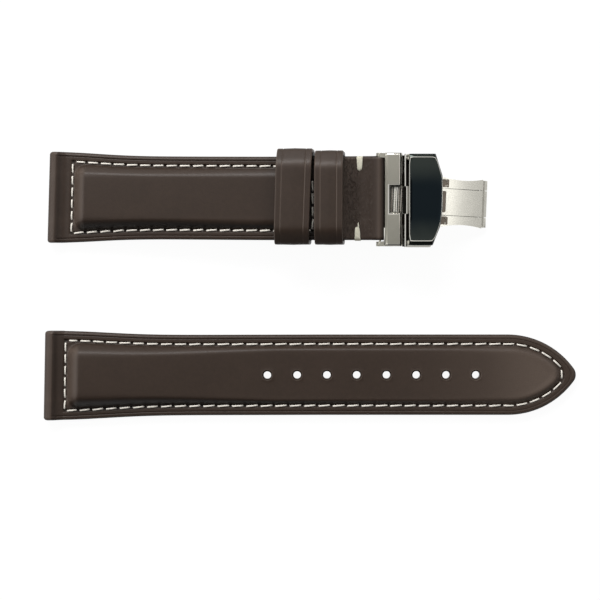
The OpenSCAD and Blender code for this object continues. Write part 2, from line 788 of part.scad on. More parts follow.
// Polished cover over the tail, with eight sides and a bevelled top edge
module cover() {
    corner_x = cover_x + cover_len - 1.5;
    edge_x = cover_x + cover_len - 0.25;
    edge_half = 5.8;
    bulge_r = (edge_half * edge_half + 0.0625) / 0.5;
    bevel_w = 0.7;
    bevel_h = 0.4;
    side_a = atan2(cover_half - edge_half, edge_x - corner_x);
    color("black") on_clasp() difference() {
        union() {
            intersection() {
                translate([0, 0, cover_z]) linear_extrude(cover_t) intersection() {
                    polygon([[cover_x, -cover_half], [corner_x, -cover_half], [edge_x, -edge_half],
                        [edge_x + 1, -edge_half], [edge_x + 1, edge_half], [edge_x, edge_half],
                        [corner_x, cover_half], [cover_x, cover_half]]);
                    translate([cover_x + cover_len - bulge_r, 0]) circle(r = bulge_r, $fn = 96);
                }
                translate([cover_x, 0, cover_z]) rotate([90, 0, 90]) linear_extrude(cover_len + 1)
                    polygon([[-cover_half, 0], [cover_half, 0], [cover_half, cover_t - bevel_h],
                        [cover_half - bevel_w, cover_t], [bevel_w - cover_half, cover_t],
                        [-cover_half, cover_t - bevel_h]]);
                across(-cover_half, cover_half)
                    polygon([[cover_x, cover_z], [edge_x + 1, cover_z],
                        [cover_x + cover_len, cover_z + cover_t - bevel_h],
                        [cover_x + cover_len - bevel_w, cover_z + cover_t], [cover_x, cover_z + cover_t]]);
            }
            across_both(cover_half - cover_wall, cover_half) {
                translate([cover_pin_x, cover_pin_z]) circle(r = 0.72);
                polygon([[cover_pin_x, cover_pin_z - 0.72], [cover_x + 1.5, cover_pin_z - 0.72],
                    [cover_x + 1.8, adjuster_z + 0.4], [corner_x - 0.3, adjuster_z + 0.4],
                    [corner_x, cover_z], [corner_x, cover_z + 0.2], [cover_x, cover_z + 0.2],
                    [cover_pin_x - 0.72, cover_pin_z]]);
            }
        }
        for (side = [0, 1])
            mirror([0, side, 0])
                translate([corner_x, cover_half, cover_z + cover_t - bevel_h])
                    rotate([0, 0, -side_a])
                        rotate([-atan2(bevel_h, bevel_w), 0, 0])
                            translate([-3, -4, 0]) cube([12, 8, 4]);
        rod(cover_pin_x, cover_pin_z, cover_pin_r + run_gap, -strap_w, strap_w);
    }
}

module cover_pin_north() {
    color("dimgray") on_clasp() rod(cover_pin_x, cover_pin_z, cover_pin_r, adjuster_ear_in, cover_half);
}

module cover_pin_south() {
    color("dimgray") on_clasp() rod(cover_pin_x, cover_pin_z, cover_pin_r, -cover_half, -adjuster_ear_in);
}

short_upper();
short_filler();
short_lining();
short_stitching();
loop_tacks();
fixed_keeper();
free_keeper();
bar_tube();
bar_plunger_north();
bar_plunger_south();
bar_spring();
tail_upper();
tail_filler();
tail_lining();
tail_stitching();
base_plate();
left_base_pin();
right_base_pin();
left_wing();
right_wing();
left_frame();
left_frame_pin();
right_frame();
right_frame_pin();
prong();
cover();
cover_pin_north();
cover_pin_south();
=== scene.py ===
# Leather watch strap in two halves with a folding clasp: the looks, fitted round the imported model.
# Lengths are in millimetres until a mesh is made, and in metres from there on.
import json
import math
import bmesh
import bpy
import numpy as np
from mathutils import Matrix, Vector


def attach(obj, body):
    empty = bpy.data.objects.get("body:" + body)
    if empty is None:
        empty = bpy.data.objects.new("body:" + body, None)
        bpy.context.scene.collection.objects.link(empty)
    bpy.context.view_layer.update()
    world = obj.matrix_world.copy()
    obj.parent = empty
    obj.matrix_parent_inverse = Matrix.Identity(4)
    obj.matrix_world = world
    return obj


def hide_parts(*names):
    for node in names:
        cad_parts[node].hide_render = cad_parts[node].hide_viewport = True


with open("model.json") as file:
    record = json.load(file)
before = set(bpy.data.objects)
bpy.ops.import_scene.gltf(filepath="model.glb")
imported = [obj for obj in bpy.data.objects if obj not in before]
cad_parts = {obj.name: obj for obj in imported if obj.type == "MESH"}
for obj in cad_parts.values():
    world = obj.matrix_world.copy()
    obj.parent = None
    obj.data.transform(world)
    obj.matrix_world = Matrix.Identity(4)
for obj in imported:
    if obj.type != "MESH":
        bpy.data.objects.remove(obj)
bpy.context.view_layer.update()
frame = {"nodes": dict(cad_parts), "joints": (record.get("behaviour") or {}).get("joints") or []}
nodes = frame["nodes"]
joints = {joint["name"]: joint for joint in frame["joints"]}
mm = 0.001
print("stage: frame loaded,", len(nodes), "nodes")


# Small tools

def toLinear(code):  # sRGB hex to linear colour
    parts = [int(code[i:i + 2], 16) / 255 for i in (1, 3, 5)]
    return tuple(p / 12.92 if p <= 0.04045 else ((p + 0.055) / 1.055) ** 2.4 for p in parts) + (1.0,)


def setInputs(tree, node, inputs):  # a value or a socket for each input; a node stands for its first output
    for name, value in inputs.items():
        value = value.outputs[0] if isinstance(value, bpy.types.Node) else value
        if isinstance(value, bpy.types.NodeSocket):
            tree.links.new(value, node.inputs[name])
        else:
            node.inputs[name].default_value = value


def addNode(tree, kind, settings=None, inputs=None):
    node = tree.nodes.new(kind)
    for name, value in (settings or {}).items():
        setattr(node, name, value)
    setInputs(tree, node, inputs or {})
    return node


def placeObject(name, data):
    thing = bpy.data.objects.new(name, data)
    bpy.context.scene.collection.objects.link(thing)
    return thing


def newMesh(name, points, edges=(), faces=()):
    mesh = bpy.data.meshes.new(name)
    mesh.from_pydata(points, edges, faces)
    return mesh


def smoothStep(v, low, high):
    t = np.clip((v - low) / (high - low), 0, 1)
    return t * t * (3 - 2 * t)


def bell(v, width):
    return np.exp(-(v / width) ** 2)


def readPoints(mesh):
    points = np.empty(len(mesh.vertices) * 3, np.float32)
    mesh.vertices.foreach_get("co", points)
    return points.reshape(-1, 3)


def writePoints(mesh, points):
    mesh.vertices.foreach_set("co", points.ravel().astype(np.float32))
    mesh.update()


# one value a point, for materials and node trees
def keepValues(mesh, name, values, kind="FLOAT", field="value"):
    mesh.attributes.new(name, kind, "POINT").data.foreach_set(field, np.asarray(values, np.float32).ravel())


# Camera, light and floor

photoView = {"overX": -2.22, "overY": 6.0, "centreY": -3.1, "height": 350.0, "lens": 94.1, "sensor": 36.0}
light = {
    # where each softbox stands and how large it is, in metres, and its power in watts
    "key": ((-0.16, 0.46, 0.42), (0.45, 0.2), 2.9), "side": ((-0.5, 0.02, 0.3), (0.3, 0.4), 0.7),
    "fill": 0.5, "paperGlow": 0.9, "topLevel": 1.5,
    # what polished metal reflects, from west to east and from south to north: place 0...1 and level
    "eastward": [(0.0, 0.45), (0.06, 0.58), (0.12, 0.6), (0.24, 0.42), (0.31, 1.3), (0.37, 1.25),
                 (0.43, 0.8), (0.5, 0.78), (0.57, 0.76), (0.63, 0.34), (0.68, 0.1), (0.72, 0.3),
                 (0.75, 2.0), (0.8, 2.0), (0.84, 0.95), (0.92, 0.7), (1.0, 0.5)],
    "northward": [(0.0, 0.5), (0.08, 0.15), (0.3, 0.1), (0.44, 0.55), (0.5, 1.0), (0.62, 1.1),
                  (0.78, 1.45), (0.87, 0.95), (1.0, 0.75)],
}


def buildCamera():
    scene = bpy.context.scene
    scene.view_settings.view_transform = "Standard"
    lens = bpy.data.cameras.new("photoCamera")
    lens.lens, lens.sensor_width = photoView["lens"], photoView["sensor"]
    lens.clip_start, lens.clip_end = 0.01, 50.0
    camera = placeObject("photoCamera", lens)
    camera.location = Vector((photoView["overX"], photoView["overY"], photoView["height"])) * mm
    tableWidth = photoView["height"] * photoView["sensor"] / photoView["lens"]
    lens.shift_y = (photoView["centreY"] - photoView["overY"]) / tableWidth
    scene.camera = camera


def addSoftbox(name, at, size, power):  # aimed at the middle of the table
    lamp = bpy.data.lights.new(name, "AREA")
    lamp.shape, lamp.size, lamp.size_y, lamp.energy = "RECTANGLE", size[0], size[1], power
    thing = placeObject(name, lamp)
    thing.location = at
    thing.rotation_euler = (-Vector(at)).to_track_quat("-Z", "Y").to_euler()


def buildWorld():
    # Even soft light on the strap, and a sky of bands for polished metal to reflect
    world = bpy.data.worlds.new("studioWorld")
    bpy.context.scene.world = world
    world.use_nodes = True
    tree = world.node_tree
    tree.nodes.clear()
    ray = addNode(tree, "ShaderNodeLightPath")
    where = addNode(tree, "ShaderNodeTexCoord")
    side = addNode(tree, "ShaderNodeVectorMath", {"operation": "DOT_PRODUCT"},
                   {0: where.outputs["Generated"], 1: (-0.4, 0.85, 0.25)})
    dome = addNode(tree, "ShaderNodeMapRange",
                   inputs={0: side.outputs["Value"], 1: -0.85, 2: 0.7, 3: 0.1, 4: 1.0})
    soft = addNode(tree, "ShaderNodeMath", {"operation": "MULTIPLY"}, {0: dome, 1: light["fill"]})
    aim = addNode(tree, "ShaderNodeSeparateXYZ", inputs={0: where.outputs["Generated"]})

    def band(axis, stops):  # level along one axis, from a list of places and levels
        place = addNode(tree, "ShaderNodeMapRange",
                        inputs={0: aim.outputs[axis], 1: -1.0, 2: 1.0, 3: 0.0, 4: 1.0})
        node = addNode(tree, "ShaderNodeValToRGB", inputs={0: place})
        marks = node.color_ramp.elements
        marks[0].position, marks[1].position = stops[0][0], stops[-1][0]
        for spot, level in stops[1:-1]:
            marks.new(spot)
        for mark, (spot, level) in zip(marks, stops):
            mark.color = (level / light["topLevel"],) * 3 + (1.0,)
        return node.outputs[0]

    net = addNode(tree, "ShaderNodeMath", {"operation": "MULTIPLY"},
                  {0: band("X", light["eastward"]), 1: band("Y", light["northward"])})
    tall = addNode(tree, "ShaderNodeMath", {"operation": "MULTIPLY"}, {0: net, 1: light["topLevel"] ** 2})
    rim = addNode(tree, "ShaderNodeMapRange", inputs={0: aim.outputs["Z"], 1: 0.08, 2: 0.3, 3: 1.0, 4: 0.0})
    south = addNode(tree, "ShaderNodeMapRange",
                    inputs={0: aim.outputs["Y"], 1: -0.75, 2: -0.3, 3: 0.4, 4: 0.95})
    sky = addNode(tree, "ShaderNodeMix", inputs={0: rim, 2: tall, 3: south})
    fill = addNode(tree, "ShaderNodeBackground", inputs={"Color": toLinear("#FFFFFF"), "Strength": soft})
    gloss = addNode(tree, "ShaderNodeBackground", inputs={"Color": toLinear("#FFFFFF"), "Strength": sky})
    plain = addNode(tree, "ShaderNodeBackground", inputs={"Color": toLinear("#FFFFFF"), "Strength": 1.0})
    shine = addNode(tree, "ShaderNodeMath", {"operation": "MAXIMUM"},
                    {0: ray.outputs["Is Glossy Ray"], 1: ray.outputs["Is Transmission Ray"]})
    first = addNode(tree, "ShaderNodeMixShader", inputs={0: shine, 1: fill, 2: gloss})
    last = addNode(tree, "ShaderNodeMixShader", inputs={0: ray.outputs["Is Camera Ray"], 1: first, 2: plain})
    addNode(tree, "ShaderNodeOutputWorld", inputs={"Surface": last})


def buildFloor():
    # Matt white paper just under the strap, lifted to white for the camera and in reflections
    half, low = 3.0, -3e-5
    corners = [(x * half, y * half, low) for x, y in ((-1, -1), (1, -1), (1, 1), (-1, 1))]
    floorMesh = newMesh("paleFloor", corners, faces=[(0, 1, 2, 3)])
    floor = placeObject("paleFloor", floorMesh)
    paper = bpy.data.materials.new("whitePaperBackdrop")
    paper.use_nodes = True
    tree = paper.node_tree
    tree.nodes.clear()
    ray = addNode(tree, "ShaderNodeLightPath")
    sheet = addNode(tree, "ShaderNodeBsdfDiffuse", inputs={"Color": toLinear("#F4F4F4")})
    glow = addNode(tree, "ShaderNodeEmission", inputs={"Color": toLinear("#FFFFFF"), "Strength": 1.05})
    both = addNode(tree, "ShaderNodeMixShader", inputs={0: light["paperGlow"], 1: sheet, 2: glow})
    seen = addNode(tree, "ShaderNodeMath", {"operation": "MAXIMUM"},
                   {0: ray.outputs["Is Camera Ray"], 1: ray.outputs["Is Glossy Ray"]})
    pick = addNode(tree, "ShaderNodeMixShader", inputs={0: seen, 1: sheet, 2: both})
    addNode(tree, "ShaderNodeOutputMaterial", inputs={"Surface": pick})
    floorMesh.materials.append(paper)


buildCamera()
addSoftbox("keyFromNorth", *light["key"])
addSoftbox("sideFromWest", *light["side"])
buildWorld()
buildFloor()
print("stage: camera, light and floor")


# Materials

def startMaterial(name, colour, roughness, metallic=0.0, ior=1.5):
    material = bpy.data.materials.new(name)
    material.use_nodes = True
    tree = material.node_tree
    tree.nodes.clear()
    shader = addNode(tree, "ShaderNodeBsdfPrincipled",
                     inputs={"Base Color": toLinear(colour), "Roughness": roughness, "Metallic": metallic,
                             "IOR": ior})
    addNode(tree, "ShaderNodeOutputMaterial", inputs={"Surface": shader})
    place = addNode(tree, "ShaderNodeTexCoord")
    material.diffuse_color = toLinear(colour)
    return material, tree, shader, place.outputs["Object"]


def inMillimetres(tree, coordinate, stretch=(1, 1, 1), turn=(0, 0, 0)):
    return addNode(tree, "ShaderNodeMapping", inputs={
        "Vector": coordinate, "Scale": tuple(1000 * k for k in stretch), "Rotation": turn}).outputs[0]


def makeLeather(name, colour, dark, tintShift, roughness, grain):
    # Full-grain calf, aniline dyed and waxed: soft broad gloss, fine pores. The tone attribute darkens it for
    # painted edges and painted shade, and lightens it for rubbed edges and painted highlights
    material, tree, shader, place = startMaterial(name, colour, roughness, ior=1.46)
    flat = inMillimetres(tree, place)
    cloud = addNode(tree, "ShaderNodeTexNoise", inputs={"Vector": flat, "Scale": 0.16, "Detail": 4.0})
    mottle = addNode(tree, "ShaderNodeTexNoise", inputs={"Vector": flat, "Scale": 1.1, "Detail": 3.0})
    blend = addNode(tree, "ShaderNodeMath", {"operation": "ADD"}, {0: cloud, 1: mottle})
    level = addNode(tree, "ShaderNodeMapRange", inputs={0: blend, 1: 0.7, 2: 1.3, 3: 0.92, 4: 1.08})
    base = addNode(tree, "ShaderNodeMix", {"data_type": "RGBA", "blend_type": "MULTIPLY"},
                   {0: 1.0, 6: toLinear(colour), 7: level})
    tone = addNode(tree, "ShaderNodeAttribute", {"attribute_name": "tone"})
    for way, shade in ((-1.0, dark), (1.0, tintShift)):
        share = addNode(tree, "ShaderNodeMath", {"operation": "MULTIPLY", "use_clamp": True},
                        {0: tone.outputs["Fac"], 1: way})
        base = addNode(tree, "ShaderNodeMix", {"data_type": "RGBA"},
                       {0: share, 6: base.outputs[2], 7: toLinear(shade)})
    # pores 0.4 mm apart
    pores = addNode(tree, "ShaderNodeTexVoronoi", {"feature": "F1"}, {"Vector": flat, "Scale": 2.6})
    folds = addNode(tree, "ShaderNodeTexNoise",
                    inputs={"Vector": flat, "Scale": 3.2, "Detail": 6.0, "Roughness": 0.62})
    gloss = addNode(tree, "ShaderNodeMapRange",
                    inputs={0: folds, 1: 0.3, 2: 0.7, 3: roughness - 0.05, 4: roughness + 0.07})
    pits = addNode(tree, "ShaderNodeMapRange",
                   inputs={0: pores.outputs["Distance"], 1: 0.0, 2: 0.35, 3: 0.0, 4: 1.0})
    height = addNode(tree, "ShaderNodeMath", {"operation": "MULTIPLY_ADD"}, {0: folds, 1: 1.6, 2: pits})
    fine = addNode(tree, "ShaderNodeBump",
                   inputs={"Strength": 0.35, "Distance": grain * mm, "Height": height})
    wrinkle = addNode(tree, "ShaderNodeAttribute", {"attribute_name": "wrinkle"})
    bent = addNode(tree, "ShaderNodeTexNoise", inputs={
        "Vector": inMillimetres(tree, place, (1.3, 0.7, 1.0), (0, 0, 0.45)), "Scale": 1.5, "Detail": 5.0,
        "Roughness": 0.7, "Distortion": 0.6})
    cracks = addNode(tree, "ShaderNodeMapRange", inputs={0: bent, 1: 0.5, 2: 0.66, 3: 0.0, 4: 0.85})
    crumple = addNode(tree, "ShaderNodeMath", {"operation": "MULTIPLY"},
                      {0: cracks, 1: wrinkle.outputs["Fac"]})
    final = addNode(tree, "ShaderNodeMix", {"data_type": "RGBA"},
                    {0: crumple, 6: base.outputs[2], 7: toLinear(tintShift)})
    coarse = addNode(tree, "ShaderNodeBump", inputs={
        "Strength": 1.0, "Distance": 0.2 * mm, "Height": crumple, "Normal": fine})
    setInputs(tree, shader, {"Base Color": final.outputs[2], "Roughness": gloss, "Specular IOR Level": 0.32,
                             "Normal": coarse})
    return material


def makeSteel(name, colour, roughness, brush, depth, stretch, cloudy=0.04):
    # Stainless steel: near-neutral grey with a warm cast, fine lines or mattness where it was finished
    material, tree, shader, place = startMaterial(name, colour, roughness, metallic=1.0)
    lines = addNode(tree, "ShaderNodeTexNoise", inputs={
        "Vector": inMillimetres(tree, place, stretch), "Scale": brush, "Detail": 3.0, "Roughness": 0.6})
    haze = addNode(tree, "ShaderNodeTexNoise",
                   inputs={"Vector": inMillimetres(tree, place), "Scale": 0.35, "Detail": 2.0})
    spread = addNode(tree, "ShaderNodeMapRange",
                     inputs={0: lines, 1: 0.3, 2: 0.7, 3: max(0.03, roughness - 0.05),
                             4: roughness + 0.06})
    tintShift = addNode(tree, "ShaderNodeMapRange", inputs={0: haze, 1: 0.35, 2: 0.65, 3: 1 - cloudy, 4: 1.0})
    tint = addNode(tree, "ShaderNodeMix", {"data_type": "RGBA", "blend_type": "MULTIPLY"},
                   {0: 1.0, 6: toLinear(colour), 7: tintShift})
    bump = addNode(tree, "ShaderNodeBump", inputs={"Strength": 0.5, "Distance": depth * mm, "Height": lines})
    setInputs(tree, shader, {"Base Color": tint.outputs[2], "Roughness": spread, "Normal": bump})
    return material


def makeDarkReflectionSteel(name, colour, edge, roughness, middle, near, ends):
    # Mirror-polished steel whose dark colour is a painted dark reflection: it greys a little from near to
    # ends off its middle, a painted change in that reflection
    material, tree, shader, place = startMaterial(name, colour, roughness, metallic=1.0)
    flat = addNode(tree, "ShaderNodeSeparateXYZ", inputs={0: inMillimetres(tree, place)})
    off = addNode(tree, "ShaderNodeMath", {"operation": "SUBTRACT"}, {0: flat.outputs[1], 1: middle})
    far = addNode(tree, "ShaderNodeMath", {"operation": "ABSOLUTE"}, {0: off})
    haze = addNode(tree, "ShaderNodeTexNoise",
                   inputs={"Vector": inMillimetres(tree, place), "Scale": 0.14, "Detail": 2.0})
    lift = addNode(tree, "ShaderNodeMath", {"operation": "MULTIPLY_ADD"}, {0: haze, 1: 3.0, 2: far})
    share = addNode(tree, "ShaderNodeMapRange", {"interpolation_type": "SMOOTHSTEP"},
                    {0: lift, 1: near, 2: ends, 3: 0.0, 4: 1.0})
    tint = addNode(tree, "ShaderNodeMix", {"data_type": "RGBA"},
                   {0: share, 6: toLinear(colour), 7: toLinear(edge)})
    setInputs(tree, shader, {"Base Color": tint.outputs[2]})
    return material


def makeThread(name, colour):
    # Waxed linen thread: pale cream, two plies laid to the right, slightly fuzzy
    material, tree, shader, place = startMaterial(name, colour, 0.72)
    along = addNode(tree, "ShaderNodeAttribute", {"attribute_name": "layAlong"})
    around = addNode(tree, "ShaderNodeAttribute", {"attribute_name": "layRound"})
    lay = addNode(tree, "ShaderNodeMath", {"operation": "ADD"},
                  {0: along.outputs["Fac"], 1: around.outputs["Fac"]})
    turns = addNode(tree, "ShaderNodeMath", {"operation": "MULTIPLY"}, {0: lay, 1: 2 * math.pi})
    wave = addNode(tree, "ShaderNodeMath", {"operation": "SINE"}, {0: turns})
    fuzz = addNode(tree, "ShaderNodeTexNoise",
                   inputs={"Vector": inMillimetres(tree, place), "Scale": 9.0, "Detail": 3.0})
    height = addNode(tree, "ShaderNodeMath", {"operation": "MULTIPLY_ADD"}, {0: wave, 1: 0.6, 2: fuzz})
    level = addNode(tree, "ShaderNodeMapRange", inputs={0: height, 1: -0.3, 2: 0.9, 3: 0.93, 4: 1.0})
    tint = addNode(tree, "ShaderNodeMix", {"data_type": "RGBA", "blend_type": "MULTIPLY"},
                   {0: 1.0, 6: toLinear(colour), 7: level})
    bump = addNode(tree, "ShaderNodeBump", inputs={"Strength": 0.25, "Distance": 0.02 * mm, "Height": height})
    setInputs(tree, shader, {"Base Color": tint.outputs[2], "Normal": bump})
    return material


def makeFelt(name, colour):
    # Pressed padding board: pale, fibrous, quite matt
    material, tree, shader, place = startMaterial(name, colour, 0.9)
    fibre = addNode(tree, "ShaderNodeTexNoise", inputs={
        "Vector": inMillimetres(tree, place, (0.4, 2.0, 2.0)), "Scale": 2.0, "Detail": 5.0})
    level = addNode(tree, "ShaderNodeMapRange", inputs={0: fibre, 1: 0.3, 2: 0.7, 3: 0.8, 4: 1.1})
    tint = addNode(tree, "ShaderNodeMix", {"data_type": "RGBA", "blend_type": "MULTIPLY"},
                   {0: 1.0, 6: toLinear(colour), 7: level})
    bump = addNode(tree, "ShaderNodeBump", inputs={"Strength": 0.5, "Distance": 0.1 * mm, "Height": fibre})
    setInputs(tree, shader, {"Base Color": tint.outputs[2], "Normal": bump})
    return material


# the dark colour serves painted edges and painted shade, the lighter one rubbed wear and painted highlights
strapCalf = makeLeather("waxedBrownCalf", "#372B23", "#120A05", "#5E5148", 0.42, 0.022)
liningCalf = makeLeather("nubuckLiningCalf", "#6A5140", "#33231A", "#8C705B", 0.78, 0.03)
creamThread = makeThread("creamLinenThread", "#F8F2E7")
# the tacks' thread, a darker cream than the stitching
tackThread = makeThread("darkerCreamLinenThread", "#E2DECB")
paddingFelt = makeFelt("pressedPaddingFelt", "#B9A588")
# steels: colour, roughness, lines in a millimetre, their depth, their stretch along each axis, cloudiness
brushedSteel = makeSteel("brushedStainlessSteel", "#E9E6DB", 0.27, 9.0, 0.004, (0.05, 1.0, 1.0))
satinSteel = makeSteel("satinStainlessSteel", "#A3A095", 0.42, 12.0, 0.004, (1.0, 0.06, 1.0))
polishedSteel = makeSteel("polishedStainlessSteel", "#E6E3DA", 0.10, 3.0, 0.0004, (1.0, 1.0, 1.0), 0.02)
paintedDarkReflectionSteel = makeDarkReflectionSteel("paintedDarkReflectionSteel", "#1B2226", "#393E3B", 0.09, 18.6, 4.5, 10.5)
# near black steel laid where there is only shade: gaps, grooves, seams, shelves and the boss's eye
paintedShadeSteel = makeSteel("paintedShadeSteel", "#1C1B18", 0.45, 8.0, 0.002, (1.0, 1.0, 1.0), 0.2)
# brown-grey steel painted as shade on the catch slots, the strip's step and the darker ridges of its roll
paintedShadeSatin = makeSteel("paintedShadeSatinSteel", "#877D72", 0.5, 8.0, 0.002, (1.0, 1.0, 1.0), 0.15)
pinSteel = makeSteel("turnedPinSteel", "#A9A69C", 0.3, 14.0, 0.003, (1.0, 0.2, 1.0))
springSteel = makeSteel("drawnSpringSteel", "#8F8D88", 0.25, 10.0, 0.002, (1.0, 1.0, 1.0))
print("stage: materials")


# How the leather runs

never = 1e4  # a place along the strap that no half reaches
strap = {
    "liningThickness": 0.9, "skinThickness": 1.0, "crown": 0.10, "rollRadius": 1.9, "boreRadius": 0.9,
    "stitchFromEdge": 2.05, "channelHalf": 0.42, "channelWall": 0.14, "channelDepth": 0.15,
    "creaseFromEdge": 0.86, "creaseDepth": 0.13, "edgeDrop": 0.62, "edgeRound": 0.62,
}
strap["foot"] = strap["stitchFromEdge"] + strap["channelHalf"] + 0.1
shortHalf = {
    "lugHalf": 10.05, "narrowHalf": 9.1, "taper": (14.3, 2.2), "drift": (0.0088, 50.0), "lean": 0.028,
    "shoulder": (1.9, 0.85, 6.0),  # least width, what the lug end adds, and the length over which that fades
    "stretch": 0.0, "creaseLast": 66.0,
    "length": 73.5, "edgeThickness": 2.4, "padThickness": 4.6, "padEndThickness": 3.2,
    "firstLine": 5.42, "lastLine": 58.85, "edgeStitches": 18, "barRadius": 1.3, "barBore": 0.7,
}
tailHalf = {
    "lugHalf": 9.86, "narrowHalf": 8.88, "taper": (17.6, 2.4), "drift": (-0.0027, 3.0), "lean": 0.017,
    # width at the lugs, loss a millimetre, least, most, gain at the point
    "shoulder": (2.8, 0.038, 0.85, 2.6, 0.4),
    "stretch": 10.2, "creaseLast": never, "padLast": never,
    "length": 117.9, "edgeThickness": 2.2, "padThickness": 4.6, "padEndThickness": 2.95,
    "firstLine": 4.65, "lastLine": never, "edgeStitches": 31, "middleY": -19.8,
    "pointRadius": 18.0, "pointTip": 2.4, "seamTip": 3.5, "holes": 8, "holePitch": 6.6,
    "holeFromTip": 22.2,
}
tailHalf["pointStart"] = tailHalf["length"] - tailHalf["pointTip"] - math.sqrt(
    (tailHalf["pointRadius"] - tailHalf["pointTip"]) ** 2
    - (tailHalf["pointRadius"] - tailHalf["narrowHalf"]) ** 2)
holePlaces = [tailHalf["length"] - tailHalf["holeFromTip"] - i * tailHalf["holePitch"]
              for i in range(tailHalf["holes"])]
tailHalf["padEnd"] = holePlaces[-1] - 2.5
shortHalf["padEnd"] = shortHalf["lastLine"] - strap["foot"] + strap["stitchFromEdge"]
shortHalf["padLast"] = shortHalf["padEnd"]
for half in (shortHalf, tailHalf):
    half["padStart"] = half["firstLine"] + strap["foot"] - strap["stitchFromEdge"]
shortHalf["rowFrom"], shortHalf["rowTo"] = shortHalf["firstLine"] + 0.1, shortHalf["lastLine"] - 0.1
tailHalf["rowFrom"], tailHalf["rowTo"] = tailHalf["firstLine"] + 0.1, tailHalf["pointStart"] - 1.3


def halfWidth(half, s):
    reach, power = half["taper"]
    share = np.exp(-(np.maximum(s, 0) / reach) ** power)
    return half["narrowHalf"] + (half["lugHalf"] - half["narrowHalf"]) * share


def drifted(half, mesh):  # the strap lies a little off straight, as it was put down
    rate, base = half["drift"]
    bend, leanReach = 2.0, 13.0
    points = readPoints(mesh)
    s = points[:, 0] / mm
    away = (base - s) if rate > 0 else (s - base)
    points[:, 0] += half["lean"] * points[:, 1] * np.exp(-(np.maximum(s, 0) / leanReach) ** 2)
    points[:, 1] += abs(rate) * np.log1p(np.exp(np.clip(away / bend, -30, 30))) * bend * mm
    writePoints(mesh, points)


def needleHoles(half):
    t = np.linspace(0, 1, half["edgeStitches"] + 1)
    return half["rowFrom"] + (half["rowTo"] - half["rowFrom"]) * t - half["stretch"] * t * (1 - t) ** 3


def channelShare(half, s, d):  # 1 on the floor of the stitch channel
    c, w, wall = strap["stitchFromEdge"], strap["channelHalf"], strap["channelWall"]
    band = lambda v: 1 - smoothStep(np.abs(v), w - wall, w)
    inside = smoothStep(s, half["firstLine"] - w, half["firstLine"] - w + wall) * \
        (1 - smoothStep(s, half["lastLine"] + w - wall, half["lastLine"] + w))
    across = np.maximum(band(s - half["firstLine"]), band(s - half["lastLine"])) * (d > c - 0.05)
    return np.maximum(band(d - c) * inside, across)


def holeShare(half, s, d):  # 1 at the bottom of a needle hole
    holes = needleHoles(half)
    near = np.abs(s[..., None] - holes).min(axis=-1)
    return bell(near, 0.24) * bell(d - strap["stitchFromEdge"], 0.26)


def creaseShare(half, s, d, width):  # 1 in the middle of the crease beside the edge
    last = half["creaseLast"]
    return bell(d - strap["creaseFromEdge"], width) * smoothStep(s, 1.6, 2.6) * \
        (1 - smoothStep(s, last - 1.5, last)) * (1 - 0.6 * smoothStep(s, 60, 105))


def shoulderWidth(half, s):
    if half is tailHalf:
        wide, loss, least, most, gain = half["shoulder"]
        return np.clip(wide - loss * s, least, most) + gain * smoothStep(s, 86, 106)
    least, more, reach = half["shoulder"]
    return least + more * np.exp(-np.maximum(s - 5, 0) / reach)


def padShare(half, s, d):
    w = shoulderWidth(half, s)
    west = np.clip(1 - (s - half["padStart"]) / (w + 0.4), 0, 1)
    a = np.maximum(west, np.clip(1 - (half["padLast"] - s) / w, 0, 1))
    b = np.clip(1 - (d - strap["foot"]) / w, 0, 1)
    return 1 - np.minimum(1, np.sqrt(a * a + b * b)) ** 1.75


def topHeight(half, s, d, y):
    s, d, y = np.broadcast_arrays(np.asarray(s, float), np.asarray(d, float), np.asarray(y, float))
    run = (s - half["padStart"]) / (half["padEnd"] - half["padStart"])
    # the slope levels off softly
    run = np.clip(run - np.log1p(np.exp(np.clip(9 * (run - 1), -30, 30))) / 9, 0, 1)
    pad = half["padThickness"] + (half["padEndThickness"] - half["padThickness"]) * run
    share = padShare(half, s, d)
    crown = strap["crown"] * (1 - run) * (1 - np.clip(np.abs(y) / 6.5, 0, 1) ** 2)
    crease = strap["creaseDepth"] * creaseShare(half, s, d, 0.085)
    return half["edgeThickness"] + (pad + crown - half["edgeThickness"]) * share - crease \
        - strap["channelDepth"] * channelShare(half, s, d) - 0.3 * holeShare(half, s, d)


def paintedTipSheen(s, d):  # painted sheen: the long half lightens towards its end
    inner = smoothStep(d, 2.4, 4.2)
    return 0.22 * smoothStep(s, 70, 100) * inner + 0.62 * smoothStep(s, 96, 112) * inner \
        + 0.16 * smoothStep(s, 85, 105)


